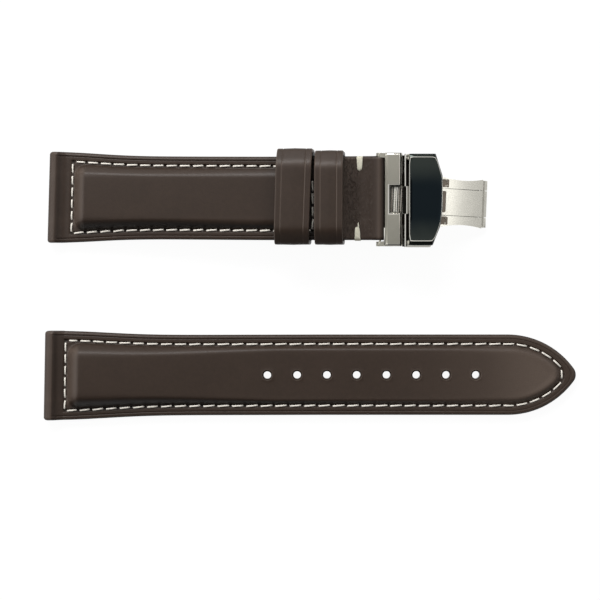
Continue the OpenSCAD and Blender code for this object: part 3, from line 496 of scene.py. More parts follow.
def toneAt(half, s, d):
    s, d = np.broadcast_arrays(np.asarray(s, float), np.asarray(d, float))
    # lighter at the rounded edge, rubbed wear with a painted highlight, and a painted highlight along the top
    # of the pad's shoulder
    edgeWearAndShoulderSheen = 0.16 * bell(d - 0.4, 0.22) + 0.1 * bell(d - strap["foot"] - 0.8 * shoulderWidth(half, s), 0.8)
    # painted highlight on the rolled lug end, painted shade in the dip behind it
    roll = smoothStep(s, 0.1, 0.9) * (1 - smoothStep(s, 1.7, 2.0))
    lug = 0.4 * roll - 0.26 * bell(s - 2.35, 0.5) * (s > 1.8) \
        - 0.06 * (s < half["firstLine"] - 0.5) * (s > 1.8)
    ahead = s - half["firstLine"]
    # painted highlight on the pad's west shoulder beside the first stitch line
    west = 0.6 * smoothStep(ahead, 0.15, 0.5) * (1 - smoothStep(ahead, 2.4, 3.4)) * \
        smoothStep(d, strap["foot"] + 0.2, strap["foot"] + 1.6)
    # painted shade between the keepers and where the pad runs under the free keeper; the long half takes its
    # painted sheen instead
    gap = 0.9 * smoothStep(s, 58.1, 58.5) * (1 - smoothStep(s, 59.7, 60.1))
    tip = paintedTipSheen(s, d) if half is tailHalf else -0.3 * bell(s - 51.5, 2.6) * (s < 58) - gap
    # painted shade in the stitch channel, the needle holes and the crease line
    hollowShade = 0.3 * channelShare(half, s, d) + 0.6 * holeShare(half, s, d) + 0.42 * creaseShare(half, s, d, 0.12)
    return np.clip(edgeWearAndShoulderSheen + lug + west + tip - hollowShade, -1, 1)


# the skin's columns: shares of the cut edge's height, distances in from the edge, and shares of the rest
wallShares = [0.0, 0.3, 0.7]
roundRows = [0.0, 0.05, 0.12, 0.21, 0.33, 0.46, 0.62]
flatRows = [0.7, 0.76, 0.81, 0.86, 0.91, 0.97, 1.04, 1.2, 1.45]
channelRows = [1.6, 1.66, 1.72, 1.8, 1.92, 2.05, 2.18, 2.30, 2.38, 2.44, 2.5]
shoulderRows = [2.57, 2.63, 2.71, 2.82, 2.96, 3.15, 3.4, 3.7, 4.05, 4.4, 4.7]
middleShares = [0.86, 0.7, 0.54, 0.38, 0.31, 0.24, 0.16, 0.08]


def pointRow(half, d, j, arcSteps, tipSteps):  # place of row d at step j of the long half's point
    arc = half["pointRadius"]
    drop = half["narrowHalf"] - arc
    c, seam = strap["stitchFromEdge"], half["seamTip"]
    tip = np.where(d < c, half["pointTip"] + (seam - half["pointTip"]) * d / c,
                   np.maximum(0.3, seam - (d - c)))
    reach = np.sqrt((arc - d - tip) ** 2 - drop * drop)
    turn = np.arctan2(-drop, reach)
    if j <= arcSteps:
        a = math.pi / 2 - (math.pi / 2 - turn) * j / arcSteps
        return half["pointStart"] + (arc - d) * np.cos(a), drop + (arc - d) * np.sin(a)
    a = turn * (arcSteps + tipSteps - j) / tipSteps
    return half["pointStart"] + reach + tip * np.cos(a), tip * np.sin(a) if j < arcSteps + tipSteps else 0 * a


def stationList(half, start, end):
    line = half["firstLine"]
    near = np.array([-0.5, -0.42, -0.35, -0.28, -0.14, 0, 0.14, 0.28, 0.35, 0.42, 0.5])
    shoulder = 0.52 + 2.4 * np.array([0.0, 0.03, 0.07, 0.13, 0.2, 0.3, 0.42, 0.56, 0.72, 0.88, 1.0])
    spots = [line + near, line + shoulder]
    if half["lastLine"] < half["length"]:
        spots += [half["lastLine"] + near, half["lastLine"] - shoulder]
    holes = needleHoles(half)
    pitch = holes[1] - holes[0]
    for part in (-0.36, -0.18, 0.0, 0.18, 0.36, 0.9, pitch / 2, pitch - 0.9):
        spots.append(holes + part)
    spots.append(np.arange(start, end, 1.0))
    found = np.unique(np.concatenate(spots))
    found = found[(found > start + 0.05) & (found < end - 0.05)]
    kept = [start]
    for s in found:
        if s - kept[-1] > 0.085:
            kept.append(s)
    return np.array(kept + [end])


def rollProfile(half, endS):
    # Outer and inner lines of the lug end: flap under, round the bar hole, back to the top
    r, b = strap["rollRadius"], strap["boreRadius"]
    flap = np.linspace(4.1, r, 5)[:-1]
    outer = [(s, 0.0) for s in flap]
    inner = [(s, 0.9 + 0.1 * (4.1 - s) / (4.1 - r)) for s in flap]
    for t in np.linspace(0, math.pi / 2, 9):
        outer.append((r - r * math.sin(t), r - r * math.cos(t)))
        inner.append((r - b * math.sin(2 * t), r - b * math.cos(2 * t)))
    # height of the rolled end's top along it
    places = [0.0, 0.12, 0.4, 0.8, 1.3, 1.8, 2.05, 2.4, 2.9, 3.5, 4.05, endS]
    heights = [r, 2.5, 2.92, 3.17, 3.35, 3.43, 3.38, 3.12, 2.76, 2.48, 2.36, half["edgeThickness"]]
    steps = 18
    along = np.linspace(0, 1, steps + 1)[1:] ** 1.5
    for i, u in enumerate(along, 1):
        s = endS * u
        outer.append((s, float(np.interp(s, places, heights))))
        t = math.pi * (1 + 0.8 * min(1.0, i / 9))
        p = (r - b * math.sin(t), r - b * math.cos(t))
        if i > 9:
            v = (i - 9) / (steps - 9)
            p = (p[0] + (endS - p[0]) * v, 0.93 + (p[1] - 0.93) * (1 - v) ** 3)
        inner.append(p)
    return outer, inner


def barProfile(half, startS):
    # The tab's end: over the spring bar and back under
    r, b, c = half["barRadius"], half["barBore"], half["length"]
    outer, inner = [], []
    steps = 8
    for i in range(1, steps + 1):
        v = i / steps
        s = startS + (c - startS) * v
        dip = half["edgeThickness"] - 0.09 * math.sin(math.pi * min(1, v * 1.4))
        overBar = r + math.sqrt(max(0, r * r - (c - s) ** 2)) if c - s < r else 0
        z = max(dip + (2 * r - dip) * smoothStep(v, 0.55, 1.0), overBar)
        outer.append((s, float(z)))
        t = math.pi * 0.8 * (1 - v)
        p = (c - b * math.sin(t), r + b * math.cos(t))
        if v < 0.5:
            q = v / 0.5
            far = (c - b * math.sin(math.pi * 0.4), r + b * math.cos(math.pi * 0.4))
            p = (startS + (far[0] - startS) * q, 0.92 + (far[1] - 0.92) * q ** 3)
        inner.append(p)
    for t in np.linspace(0, math.pi, 15)[1:]:
        outer.append((c + r * math.sin(t), r + r * math.cos(t)))
        inner.append((c + b * math.sin(t), r + b * math.cos(t)))
    for s in np.linspace(c, startS + 0.9, 4)[1:]:
        outer.append((s, 0.0))
        inner.append((s, min(0.88, 0.6 + 0.28 * (c - s))))
    return outer, inner


def ribbon(name, outer, inner, extras, holes=(), closedEnd=False):
    # One closed skin: outer and inner grids, sewn along both edges and both ends
    rows, cols = outer.shape[:2]
    points = [outer.reshape(-1, 3), inner.reshape(-1, 3)]
    values = {key: [v.reshape(-1), v.reshape(-1) * 0 + low] for key, (v, low) in extras.items()}
    index = np.arange(rows * cols).reshape(rows, cols)
    faces = []
    skip = np.zeros((rows - 1, cols - 1), bool)
    for h in holes:
        skip[h["rows"][0]:h["rows"][1], h["cols"][0]:h["cols"][1]] = True
    for layer, way in ((0, 1), (rows * cols, -1)):
        a, b, c, d = index[:-1, :-1], index[:-1, 1:], index[1:, 1:], index[1:, :-1]
        quads = np.stack([a, b, c, d][::way], axis=-1)[~skip] + layer
        faces += quads.tolist()
    shift = rows * cols

    def sew(line):  # joins the outer and the inner grid along a line of points
        return [[a, b, b + shift, a + shift] for a, b in zip(line[:-1], line[1:])]

    for i in (0,) if closedEnd else (0, rows - 1):
        faces += sew(index[i])
    for k in (0, cols - 1):
        if not np.allclose(outer[:, k], inner[:, k]):
            faces += sew(index[:, k])
    count = 2 * rows * cols
    for h in holes:
        i0, i1 = h["rows"]
        k0, k1 = h["cols"]
        loop = [(i0, k) for k in range(k0, k1)] + [(i, k1) for i in range(i0, i1)] + \
            [(i1, k) for k in range(k1, k0, -1)] + [(i, k0) for i in range(i1, i0, -1)]
        rims = []
        for layer, grid, lift in ((0, outer, -1), (shift, inner, 1)):
            previous = [index[i, k] + layer for i, k in loop]
            around = 0.0 if layer else float(np.mean([values["tone"][0][v] for v in previous]))
            for radius, drop, tone in h["rings"]:
                ring = []
                for i, k in loop:
                    p = grid[i, k]
                    way = math.atan2(p[1] - h["at"][1], p[0] - h["at"][0])
                    ring.append((h["at"][0] + radius * math.cos(way), h["at"][1] + radius * math.sin(way),
                                 grid[i0, (k0 + k1) // 2][2] + lift * drop))
                points.append(np.array(ring))
                for key in values:
                    values[key].append(np.full(len(ring), tone + around if key == "tone" else 0.0))
                here = list(range(count, count + len(ring)))
                count += len(ring)
                for n in range(len(ring)):
                    m = (n + 1) % len(ring)
                    faces.append([previous[n], previous[m], here[m], here[n]])
                previous = here
            rims.append(previous)
        for n in range(len(loop)):
            m = (n + 1) % len(loop)
            faces.append([rims[0][n], rims[0][m], rims[1][m], rims[1][n]])
    mesh = newMesh(name, (np.concatenate(points) * mm).tolist(), faces=faces)
    for key, parts in values.items():
        keepValues(mesh, key, np.concatenate(parts))
    work = bmesh.new()
    work.from_mesh(mesh)
    bmesh.ops.remove_doubles(work, verts=work.verts, dist=2e-6)
    bmesh.ops.dissolve_degenerate(work, edges=work.edges, dist=1e-7)
    bmesh.ops.recalc_face_normals(work, faces=work.faces)
    work.to_mesh(mesh)
    work.free()
    mesh.shade_smooth()
    mesh.set_sharp_from_angle(angle=math.radians(50))
    return placeObject(name, mesh)


def punched(grid, first, rings):
    # The long half's holes as ribbon takes them; each ring is a radius, a depth and a tone, the tones
    # painting a light rim and shade down the bore
    middle, holes = grid.shape[1] // 2, []
    for at in holePlaces:
        span = [r for r in range(first, len(grid)) if abs(grid[r, middle, 0] - at) < 1.7]
        holes.append({"at": (at, 0.0), "rows": (span[0], span[-1]), "cols": (middle - 5, middle + 5),
                      "rings": rings})
    return holes


def edgeFall(d):  # rounding of the painted edge
    v = np.clip(1 - d / strap["edgeRound"], 0, 1)
    return strap["edgeDrop"] * (1 - np.sqrt(np.clip(1 - v * v, 0, 1)))


def fillerTop(half, s, d):  # how far the padding lifts the skin's inner side
    start = half["padStart"]
    last = half["padEnd"] if half is shortHalf else half["padEnd"] - 2
    run = np.clip((s - start) / (half["padEnd"] - start), 0, 1)
    thinning = (half["padEndThickness"] - half["padThickness"]) * run
    top = half["padThickness"] + thinning - strap["skinThickness"]
    share = smoothStep(d, strap["foot"] + 0.9, strap["foot"] + 2.0) * \
        smoothStep(s, start + 0.7, start + 2.0) * \
        (1 - smoothStep(s, last - 2.0, last - 0.7))
    return strap["liningThickness"] + (top - strap["liningThickness"]) * share, share


def buildUpper(name, half, pointed):
    topStart = 4.5 if not pointed else 4.2
    rollOut, rollIn = rollProfile(half, topStart)
    r0 = strap["rollRadius"]
    topEnd = half["pointStart"] if pointed else half["length"] - 2.5
    tops = stationList(half, topStart, topEnd)[1:]
    barOut, barIn = ([], []) if pointed else barProfile(half, topEnd)
    tipSteps = (44, 10) if pointed else (0, 0)
    inward = roundRows + flatRows + channelRows + shoulderRows
    d = np.array([0.0] * len(wallShares) + inward)
    w = np.array(wallShares + [1.0] * len(inward))
    bulge = np.array([0.0, 0.03, 0.035] + [0.0] * len(inward))  # the cut edge swells a little
    fall = edgeFall(d) * (w >= 1)
    lastD = d[-1]
    shares = np.array(middleShares)
    rowsOut, rowsIn, tones, wrinkles = [], [], [], []

    def addRow(place, zOut, zIn, sIn, tone, wrinkle):
        # place(d) gives s and y of a row point, the heights are functions of s, d and y
        sEdge, yEdge = place(d - bulge)
        sMid, yMid = place(np.array([lastD]))
        sFull = np.concatenate([sEdge, np.full(len(shares), sMid[0]), [sMid[0]]])
        yFull = np.concatenate([yEdge, yMid[0] * shares, [0.0]])
        dFull = np.concatenate([d, lastD + (1 - shares) * yMid[0], [lastD + yMid[0]]])
        fullW = np.concatenate([w, np.ones(len(shares) + 1)])
        fullFall = np.concatenate([fall, np.zeros(len(shares) + 1)])
        so, zo = zOut(sFull, dFull, yFull)
        si, zi = zIn(sFull, dFull)
        if sIn is not None:
            si = si * 0 + sIn
        up = np.stack([so - si, 0 * so, zo - zi], axis=-1)
        length = np.maximum(1e-6, np.linalg.norm(up, axis=-1))[:, None]
        low = np.stack([si, yFull, zi], axis=-1)
        high = low + up * fullW[:, None] - up / length * fullFall[:, None]
        inD = np.where(w < 1, 0.012 * np.arange(len(w)), np.maximum(d, 0.012 * np.arange(len(w))))
        sIn2, yIn2 = place(inD)
        lowIn = low.copy()
        lowIn[:len(d), 1] = yIn2
        if sIn is None:
            lowIn[:len(d), 0] = sIn2
        lowIn[0] = high[0]
        full = lambda a, flip: np.concatenate([a, (a[:-1] * ([1, -1, 1] if flip else 1))[::-1]])
        rowsOut.append(full(high, True))
        rowsIn.append(full(lowIn, True))
        t = tone(sFull, dFull) + np.where(fullW < 1, -0.45, 0.0)
        t = np.clip(t, -1, 1)
        # tones of the south half: the crease's painted shade eased, and a painted shade band down the pad's
        # south shoulder
        southToneAndShade = t + 0.4 * bell(dFull - strap["creaseFromEdge"], 0.14) * (t < -0.2)
        wide = shoulderWidth(half, sFull)
        slim = 1.0 if half is tailHalf else 1 - 0.5 * smoothStep(sFull, 20, 46)
        onPad = (sFull > half["firstLine"] + 0.4) * (sFull < half["padLast"])
        band = bell(dFull - strap["foot"] - 0.3 * wide * slim, 0.6 * wide * slim) * onPad
        southToneAndShade -= band * (1.0 - smoothStep(sFull, 50, 98)) * smoothStep(sFull - half["firstLine"], 0.4, 2.4)
        tones.append(np.concatenate([t, np.clip(southToneAndShade, -1, 1)[:-1][::-1]]))
        wrinkles.append(full(np.full(len(t), 1.0) * wrinkle, False))

    def fixed(p):
        return lambda s, dd, y=None: (s * 0 + p[0], s * 0 + p[1])

    for (s0, z0), inPoint in zip(rollOut, rollIn):
        depth = strap["creaseDepth"] * float(smoothStep(s0, 1.6, 2.6)) * (z0 > r0)
        addRow(lambda dd: (dd * 0 + s0, halfWidth(half, s0) - dd),
               lambda s, dd, y: (s * 0 + s0, z0 - depth * bell(dd - strap["creaseFromEdge"], 0.085)),
               fixed(inPoint), inPoint[0],
               lambda s, dd: toneAt(half, s * 0 + max(s0, 0.0), dd) * (z0 > r0 - 0.2), 0.0)
    for s0 in tops:
        curl = 0.0 if pointed else float(smoothStep(s0, 65.2, 66.2) * (1 - 0.75 * smoothStep(s0, 68.4, 69.6)))
        # on the tab just past the fixed keeper a painted light lifts the keeper's cast shadow
        addRow(lambda dd: (dd * 0 + s0, halfWidth(half, s0) - dd),
               lambda s, dd, y: (s, topHeight(half, s, dd, y)),
               lambda s, dd: (s, fillerTop(half, s, dd)[0]), None,
               lambda s, dd: toneAt(half, s, dd) - 0.1 * curl
               + (0.0 if pointed else 0.95 * bell(s - 65.6, 1.6) * (s > 65.3)), curl)
    for outPoint, inPoint in zip(barOut, barIn):
        past = outPoint[0] - half["length"]
        # painted highlight on the loop over the bar, painted shade on its far side
        tintShift = (0.5 * bell(past + 0.2, 0.42) - 0.9 * smoothStep(past, 0.3, 0.8)) * (outPoint[1] > 0.7)
        addRow(lambda dd: (dd * 0 + outPoint[0], half["narrowHalf"] - dd), fixed(outPoint), fixed(inPoint),
               inPoint[0], lambda s, dd: s * 0 + tintShift, float(1 - smoothStep(past, -1.6, -0.6)) * 0.25)
    # the point has the height and tone of the strap just before it
    before = lambda s: s * 0 + half["pointStart"] - 1.6
    for j in range(1, sum(tipSteps) + 1):
        addRow(lambda dd: pointRow(half, dd, j, *tipSteps),
               lambda s, dd, y: (s, topHeight(half, before(s), dd, y)
                                 - 0.28 * smoothStep(s, 103.0, 115.0) * smoothStep(dd, 2.6, 5.0)),
               lambda s, dd: (s, s * 0 + strap["liningThickness"]), None,
               lambda s, dd: toneAt(half, before(s), dd) + paintedTipSheen(s, dd) - paintedTipSheen(before(s), dd), 0.0)
    outer, inner = np.array(rowsOut), np.array(rowsIn)
    tone, wrinkle = np.array(tones), np.array(wrinkles)
    # rings round each hole: a painted light rim, then painted shade down the bore
    rings = [(1.32, 0.0, 0.0), (1.22, -0.03, 0.3), (1.15, -0.02, 0.45), (1.09, 0.06, -0.3),
             (1.0, 0.16, -0.5), (0.9, 0.26, -0.2), (0.85, 0.34, 0.25), (0.84, 0.5, -0.5)]
    holes = punched(outer, len(rollOut), rings) if pointed else []
    return ribbon(name, outer, inner, {"tone": (tone, -0.5), "wrinkle": (wrinkle, 0.0)}, holes, pointed)


shortUpper = buildUpper("shortUpperLeather", shortHalf, False)
tailUpper = buildUpper("tailUpperLeather", tailHalf, True)

barAt = joints["strap_hinge"]["pos_m"]
slope = math.asin((barAt[2] / mm - shortHalf["barRadius"]) / (shortHalf["length"] - strap["rollRadius"]))
shortPlace = Matrix.Translation(Vector(barAt)) @ Matrix.Rotation(-slope, 4, "Y") @ \
    Matrix.Translation(Vector((-shortHalf["length"], 0, -shortHalf["barRadius"])) * mm)
tailPlace = Matrix.Translation(Vector((-tailHalf["length"] / 2, tailHalf["middleY"], 0)) * mm)


def settle(piece, place, body, slot, material, *replaced):
    if body != "free_keeper":
        drifted(shortHalf if place is shortPlace else tailHalf, piece.data)
    piece.data.transform(place)
    piece.data.materials.clear()
    piece.data.materials.append(material)
    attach(piece, body)
    if replaced:
        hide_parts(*replaced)
    return piece


settle(shortUpper, shortPlace, "short_half", "strap_leather", strapCalf, "short_upper")
settle(tailUpper, tailPlace, "tail_half", "strap_leather", strapCalf, "tail_upper")
print("stage: upper leather")

# Linings and padding

lining = {"across": [0.0, 0.06, 0.16, 0.32, 0.6, 1.2, 2.05, 3.3, 4.7], "edgeIn": 0.04, "short": (4.14, 71.84),
          "tail": (4.12, tailHalf["pointStart"])}
padding = {"across": [0.0, 0.1, 0.3, 0.7, 1.2, 2.0, 3.2], "shares": [0.75, 0.5, 0.25], "in": 1.3,
           "short": (6.75, 57.05), "tail": (6.3, 44.77)}


def gridRow(place, across, shares, zAt):  # one row from edge to edge
    s, y = place(np.array(across))
    s = np.concatenate([s, np.full(len(shares) + 1, s[-1])])
    y = np.concatenate([y, y[-1] * np.array(shares), [0.0]])
    row = np.stack([s, y, zAt(s, np.concatenate([across, np.full(len(shares) + 1, 9.0)]))], axis=-1)
    return np.concatenate([row, (row[:-1] * [1, -1, 1])[::-1]])


def twoGrids(places, across, shares, *levels):  # the upper and the lower grid, one row a place
    return [np.array([gridRow(place, across, shares, level) for place in places]) for level in levels]


def buildLining(name, half, start, end, pointed):
    across = np.array(lining["across"])
    thick, edgeIn = strap["liningThickness"], lining["edgeIn"]
    stations = [start, start + 0.12, start + 0.3] + list(np.arange(start + 1.0, end - 0.8, 1.0))
    stations += [end - 0.3, end - 0.12, end]
    if pointed:
        fine = [a + step for a in holePlaces for step in (-1.6, -1.2, -0.8, -0.4, 0, 0.4, 0.8, 1.2, 1.6)]
        clear = [s for s in stations[:-3] if min(abs(s - a) for a in holePlaces) > 1.9]
        stations = sorted(clear + fine + [end])
    steps = (40, 10) if pointed else (0, 0)
    places = [lambda d, s0=s0: (d * 0 + s0, halfWidth(half, s0) - edgeIn - d) for s0 in stations]
    places += [lambda d, j=j: pointRow(half, d + edgeIn, j, *steps) for j in range(1, sum(steps) + 1)]
    high, low = twoGrids(
        places, across, middleShares, lambda s, d: s * 0 + thick - 0.01,
        lambda s, d: 0.26 * (1 - np.sqrt(np.clip(1 - np.clip(1 - d / 0.3, 0, 1) ** 2, 0, 1))))
    side = np.concatenate([across, np.full(len(middleShares) + 1, 9.0)])
    side = np.concatenate([side, side[:-1][::-1]])
    tone = np.tile(np.where(side < 0.2, -0.9, 0.0), (len(high), 1))
    # the lining's hole rings darken down the bore: painted shade
    holes = punched(high, 0, [(1.1, 0.0, 0.0), (1.0, 0.02, -0.3), (0.97, 0.06, -0.6)]) if pointed else []
    return ribbon(name, high, low, {"tone": (tone, -0.2), "wrinkle": (tone * 0, 0.0)}, holes, pointed)


def buildPadding(name, half, start, end):
    across = np.array(padding["across"])
    stations = [start, start + 0.15, start + 0.5] + list(np.arange(start + 1.0, end - 0.9, 1.5))
    stations += [end - 0.5, end - 0.15, end]
    foot = strap["foot"] + padding["in"]

    def top(s, d):  # drawn in a little all round
        drawn = 0.2 * (1 - np.clip(np.minimum(d, np.minimum(s - start, end - s)) / 0.3, 0, 1))
        return np.maximum(1.05, fillerTop(half, s, np.minimum(d + foot, 9.0))[0] - 0.03 - drawn)

    places = [lambda d, s0=s0: (d * 0 + s0, halfWidth(half, s0) - foot - d) for s0 in stations]
    bottom = lambda s, d: s * 0 + strap["liningThickness"] + 0.01
    high, low = twoGrids(places, across, padding["shares"], top, bottom)
    return ribbon(name, high, low, {"tone": (high[:, :, 0] * 0, 0.0)})


shortLining = buildLining("shortNubuckLining", shortHalf, *lining["short"], False)
tailLining = buildLining("tailNubuckLining", tailHalf, *lining["tail"], True)
settle(shortLining, shortPlace, "short_half", "lining_leather", liningCalf, "short_lining")
settle(tailLining, tailPlace, "tail_half", "lining_leather", liningCalf, "tail_lining")
shortPadding = buildPadding("shortPaddingBoard", shortHalf, *padding["short"])
tailPadding = buildPadding("tailPaddingBoard", tailHalf, *padding["tail"])
settle(shortPadding, shortPlace, "short_half", "filler", paddingFelt, "short_filler")
settle(tailPadding, tailPlace, "tail_half", "filler", paddingFelt, "tail_filler")
print("stage: linings and padding")


# Stitching

thread = {  # in millimetres; slants and unevenness in degrees
    "width": 0.98, "sink": 0.46, "height": 0.3, "gap": 0.62, "slantNorth": 2.4, "slantSouth": 4.2,
    "slantLine": 2.0, "uneven": 1.6, "plyTurns": 2.5, "seed": 7,
}


def openTree(name, sockets):  # a node group with geometry in and out, and inputs of the names and kinds given
    tree = bpy.data.node_groups.new(name, "GeometryNodeTree")
    tree.interface.new_socket("Geometry", in_out="OUTPUT", socket_type="NodeSocketGeometry")
    for label, kind in {"Geometry": "Geometry", **sockets}.items():
        tree.interface.new_socket(label, in_out="INPUT", socket_type="NodeSocket" + kind)
    return tree, addNode(tree, "NodeGroupInput").outputs, addNode(tree, "NodeGroupOutput")


# round thread along a curve, with its ply kept for the material
def twistedThread(tree, curve, width, share, turns):
    t = addNode(tree, "GeometryNodeSplineParameter")
    lay = addNode(tree, "ShaderNodeMath", {"operation": "MULTIPLY"}, {0: t.outputs["Factor"], 1: turns})
    kept = addNode(tree, "GeometryNodeStoreNamedAttribute", {"data_type": "FLOAT"},
                   {"Geometry": curve, "Name": "layAlong", "Value": lay})
    radius = addNode(tree, "ShaderNodeMath", {"operation": "MULTIPLY"}, {0: width, 1: 0.5})
    ring = addNode(tree, "GeometryNodeCurvePrimitiveCircle", inputs={"Resolution": 10, "Radius": radius})
    turn = addNode(tree, "GeometryNodeSplineParameter")
    around = addNode(tree, "GeometryNodeStoreNamedAttribute", {"data_type": "FLOAT"},
                     {"Geometry": ring, "Name": "layRound", "Value": turn.outputs["Factor"]})
    mesh = addNode(tree, "GeometryNodeCurveToMesh", inputs={
        "Curve": kept, "Profile Curve": around, "Scale": share, "Fill Caps": True})
    return addNode(tree, "GeometryNodeSetShadeSmooth", inputs={0: mesh}).outputs[0]


def stitchTree():
    tree, get, sink = openTree("runningStitches", {
        "Thread width": "Float", "Sink": "Float", "Height": "Float", "Unevenness": "Float",
        "Ply turns": "Float", "Seed": "Int", "Thread": "Material"})
    low = addNode(tree, "ShaderNodeMath", {"operation": "MULTIPLY"}, {0: get["Sink"], 1: -1.0})
    bend = {}
    for key, x, z in (("start", -0.5, low.outputs[0]), ("startPull", -0.47, get["Height"]),
                      ("endPull", 0.47, get["Height"]), ("end", 0.5, low.outputs[0])):
        bend[key] = addNode(tree, "ShaderNodeCombineXYZ", inputs={0: x, 2: z}).outputs[0]
    arch = addNode(tree, "GeometryNodeCurvePrimitiveBezierSegment", {"mode": "POSITION"}, {
        "Resolution": 14, "Start": bend["start"], "Start Handle": bend["startPull"],
        "End Handle": bend["endPull"], "End": bend["end"]})
    t = addNode(tree, "GeometryNodeSplineParameter")
    far = addNode(tree, "ShaderNodeMath", {"operation": "MULTIPLY_ADD"}, {0: t, 1: 2.0, 2: -1.0})
    size = addNode(tree, "ShaderNodeMath", {"operation": "ABSOLUTE"}, {0: far})
    power = addNode(tree, "ShaderNodeMath", {"operation": "POWER"}, {0: size, 1: 2.6})
    share = addNode(tree, "ShaderNodeMath", {"operation": "MULTIPLY_ADD"}, {0: power, 1: -0.62, 2: 1.0})
    one = twistedThread(tree, arch.outputs[0], get["Thread width"], share.outputs[0], get["Ply turns"])

    def pick(name, kind):
        return addNode(tree, "GeometryNodeInputNamedAttribute", {"data_type": kind},
                       {"Name": name}).outputs[0]

    aim = addNode(tree, "FunctionNodeAxesToRotation", {"primary_axis": "X", "secondary_axis": "Z"},
                  {0: pick("along", "FLOAT_VECTOR"), 1: (0.0, 0.0, 1.0)})
    least = addNode(tree, "ShaderNodeMath", {"operation": "MULTIPLY"}, {0: get["Unevenness"], 1: -1.0})
    sway = addNode(tree, "FunctionNodeRandomValue", {"data_type": "FLOAT"},
                   {2: least, 3: get["Unevenness"], 8: get["Seed"]})
    angle = addNode(tree, "ShaderNodeCombineXYZ", inputs={2: sway.outputs[1]})
    swing = addNode(tree, "FunctionNodeEulerToRotation", inputs={0: angle})
    turned = addNode(tree, "FunctionNodeRotateRotation", {"rotation_space": "LOCAL"}, {0: aim, 1: swing})
    second = addNode(tree, "ShaderNodeMath", {"operation": "ADD"}, {0: get["Seed"], 1: 11.0})
    stretch = addNode(tree, "FunctionNodeRandomValue", {"data_type": "FLOAT"}, {2: 0.95, 3: 1.04, 8: second})
    length = addNode(tree, "ShaderNodeMath", {"operation": "MULTIPLY"},
                     {0: pick("reach", "FLOAT"), 1: stretch.outputs[1]})
    scale = addNode(tree, "ShaderNodeCombineXYZ", inputs={0: length, 1: 1.0, 2: 0.85})
    laid = addNode(tree, "GeometryNodeInstanceOnPoints", inputs={
        "Points": get["Geometry"], "Instance": one, "Rotation": turned, "Scale": scale})
    real = addNode(tree, "GeometryNodeRealizeInstances", inputs={0: laid})
    done = addNode(tree, "GeometryNodeSetMaterial", inputs={"Geometry": real, "Material": get["Thread"]})
    setInputs(tree, sink, {0: done})
    return tree


def runTree(piece, tree, values):  # sets the inputs, then keeps the made mesh and drops the modifier
    step = piece.modifiers.new(tree.name, "NODES")
    step.node_group = tree
    for item in tree.interface.items_tree:
        if item.in_out == "INPUT" and item.name in values:
            step[item.identifier] = values[item.name]
    graph = bpy.context.evaluated_depsgraph_get()
    made = bpy.data.meshes.new_from_object(piece.evaluated_get(graph), preserve_all_data_layers=True,
                                           depsgraph=graph)
    piece.modifiers.clear()
    piece.data = made
    made.name = piece.name
    return piece


def pointSeam(half, far):  # place and way on the stitch line round the point, by distance back from its tip
    tip, c = half["seamTip"], strap["stitchFromEdge"]
    arc, drop = half["pointRadius"] - c, half["narrowHalf"] - half["pointRadius"]
    reach = math.sqrt((arc - tip) ** 2 - drop * drop)
    turn = math.atan2(-drop, reach)
    if far <= tip * turn:
        a = far / tip
        return half["pointStart"] + reach + tip * math.cos(a), tip * math.sin(a), a - math.pi / 2
    a = turn + (far - tip * turn) / arc
    if a > math.pi / 2:
        return half["pointStart"] - (a - math.pi / 2) * arc, drop + arc, 0.0
    return half["pointStart"] + arc * math.cos(a), drop + arc * math.sin(a), a - math.pi / 2


def stitchSpots(half, pointed):
    # Where each stitch lies, which way it runs and how long it is
    spots = []
    c, gap = strap["stitchFromEdge"], thread["gap"]
    holes = needleHoles(half)
    floor = half["edgeThickness"] - strap["channelDepth"] + 0.2
    for side, slant in ((1, thread["slantNorth"]), (-1, thread["slantSouth"])):
        for n, (a, b) in enumerate(zip(holes[:-1], holes[1:])):
            if n == 0:
                a = a + (0.35 if side > 0 else 0.1)
            ya, yb = side * (float(halfWidth(half, a)) - c), side * (float(halfWidth(half, b)) - c)
            # near the lugs the north row slants a little the other way
            turn = -3.5 * math.exp(-((b - 8.5) / 3.5) ** 2) if side > 0 else 0.0
            way = math.atan2(yb - ya, b - a) + math.radians(slant + turn)
            spots.append(((a + b) / 2, (ya + yb) / 2, floor, way, b - a - gap))
    first = float(halfWidth(half, half["firstLine"])) - c
    for line, count in ((half["firstLine"], 6), (half["lastLine"], 5)):
        if line > half["length"]:
            continue
        reach = (first if line < 10 else half["narrowHalf"] - c) - 0.1
        marks = np.linspace(-reach - 0.12, reach - 0.12, count + 1)
        if line > 10:
            marks = marks[:-1]  # the keepers hide the northern end of this row
        for n, (a, b) in enumerate(zip(marks[:-1], marks[1:])):
            tilt = thread["slantLine"] if n else -3.0
            spots.append((line, (a + b) / 2, floor, math.radians(90 + tilt), (b - a) - gap * 0.9))
    if pointed:
        start = 0.98 + gap / 2
        tip, drop = half["seamTip"], half["pointRadius"] - half["narrowHalf"]
        whole = tip * math.atan2(drop, math.sqrt((half["pointRadius"] - c - tip) ** 2 - drop ** 2))
        whole += (half["pointRadius"] - c) * (math.pi / 2 - whole / tip) + half["pointStart"] - half["rowTo"]
        marks = np.linspace(start, whole, 6)
        s, y, way = pointSeam(half, 0.12)
        spots.append((s - 0.05, 0.1, floor, -math.pi / 2 + 0.05, 1.98))
        for side in (1, -1):
            for a, b in zip(marks[:-1], marks[1:]):
                s, y, way = pointSeam(half, (a + b) / 2)
                spots.append((s, side * y, floor, side * way, b - a - gap))
    return spots


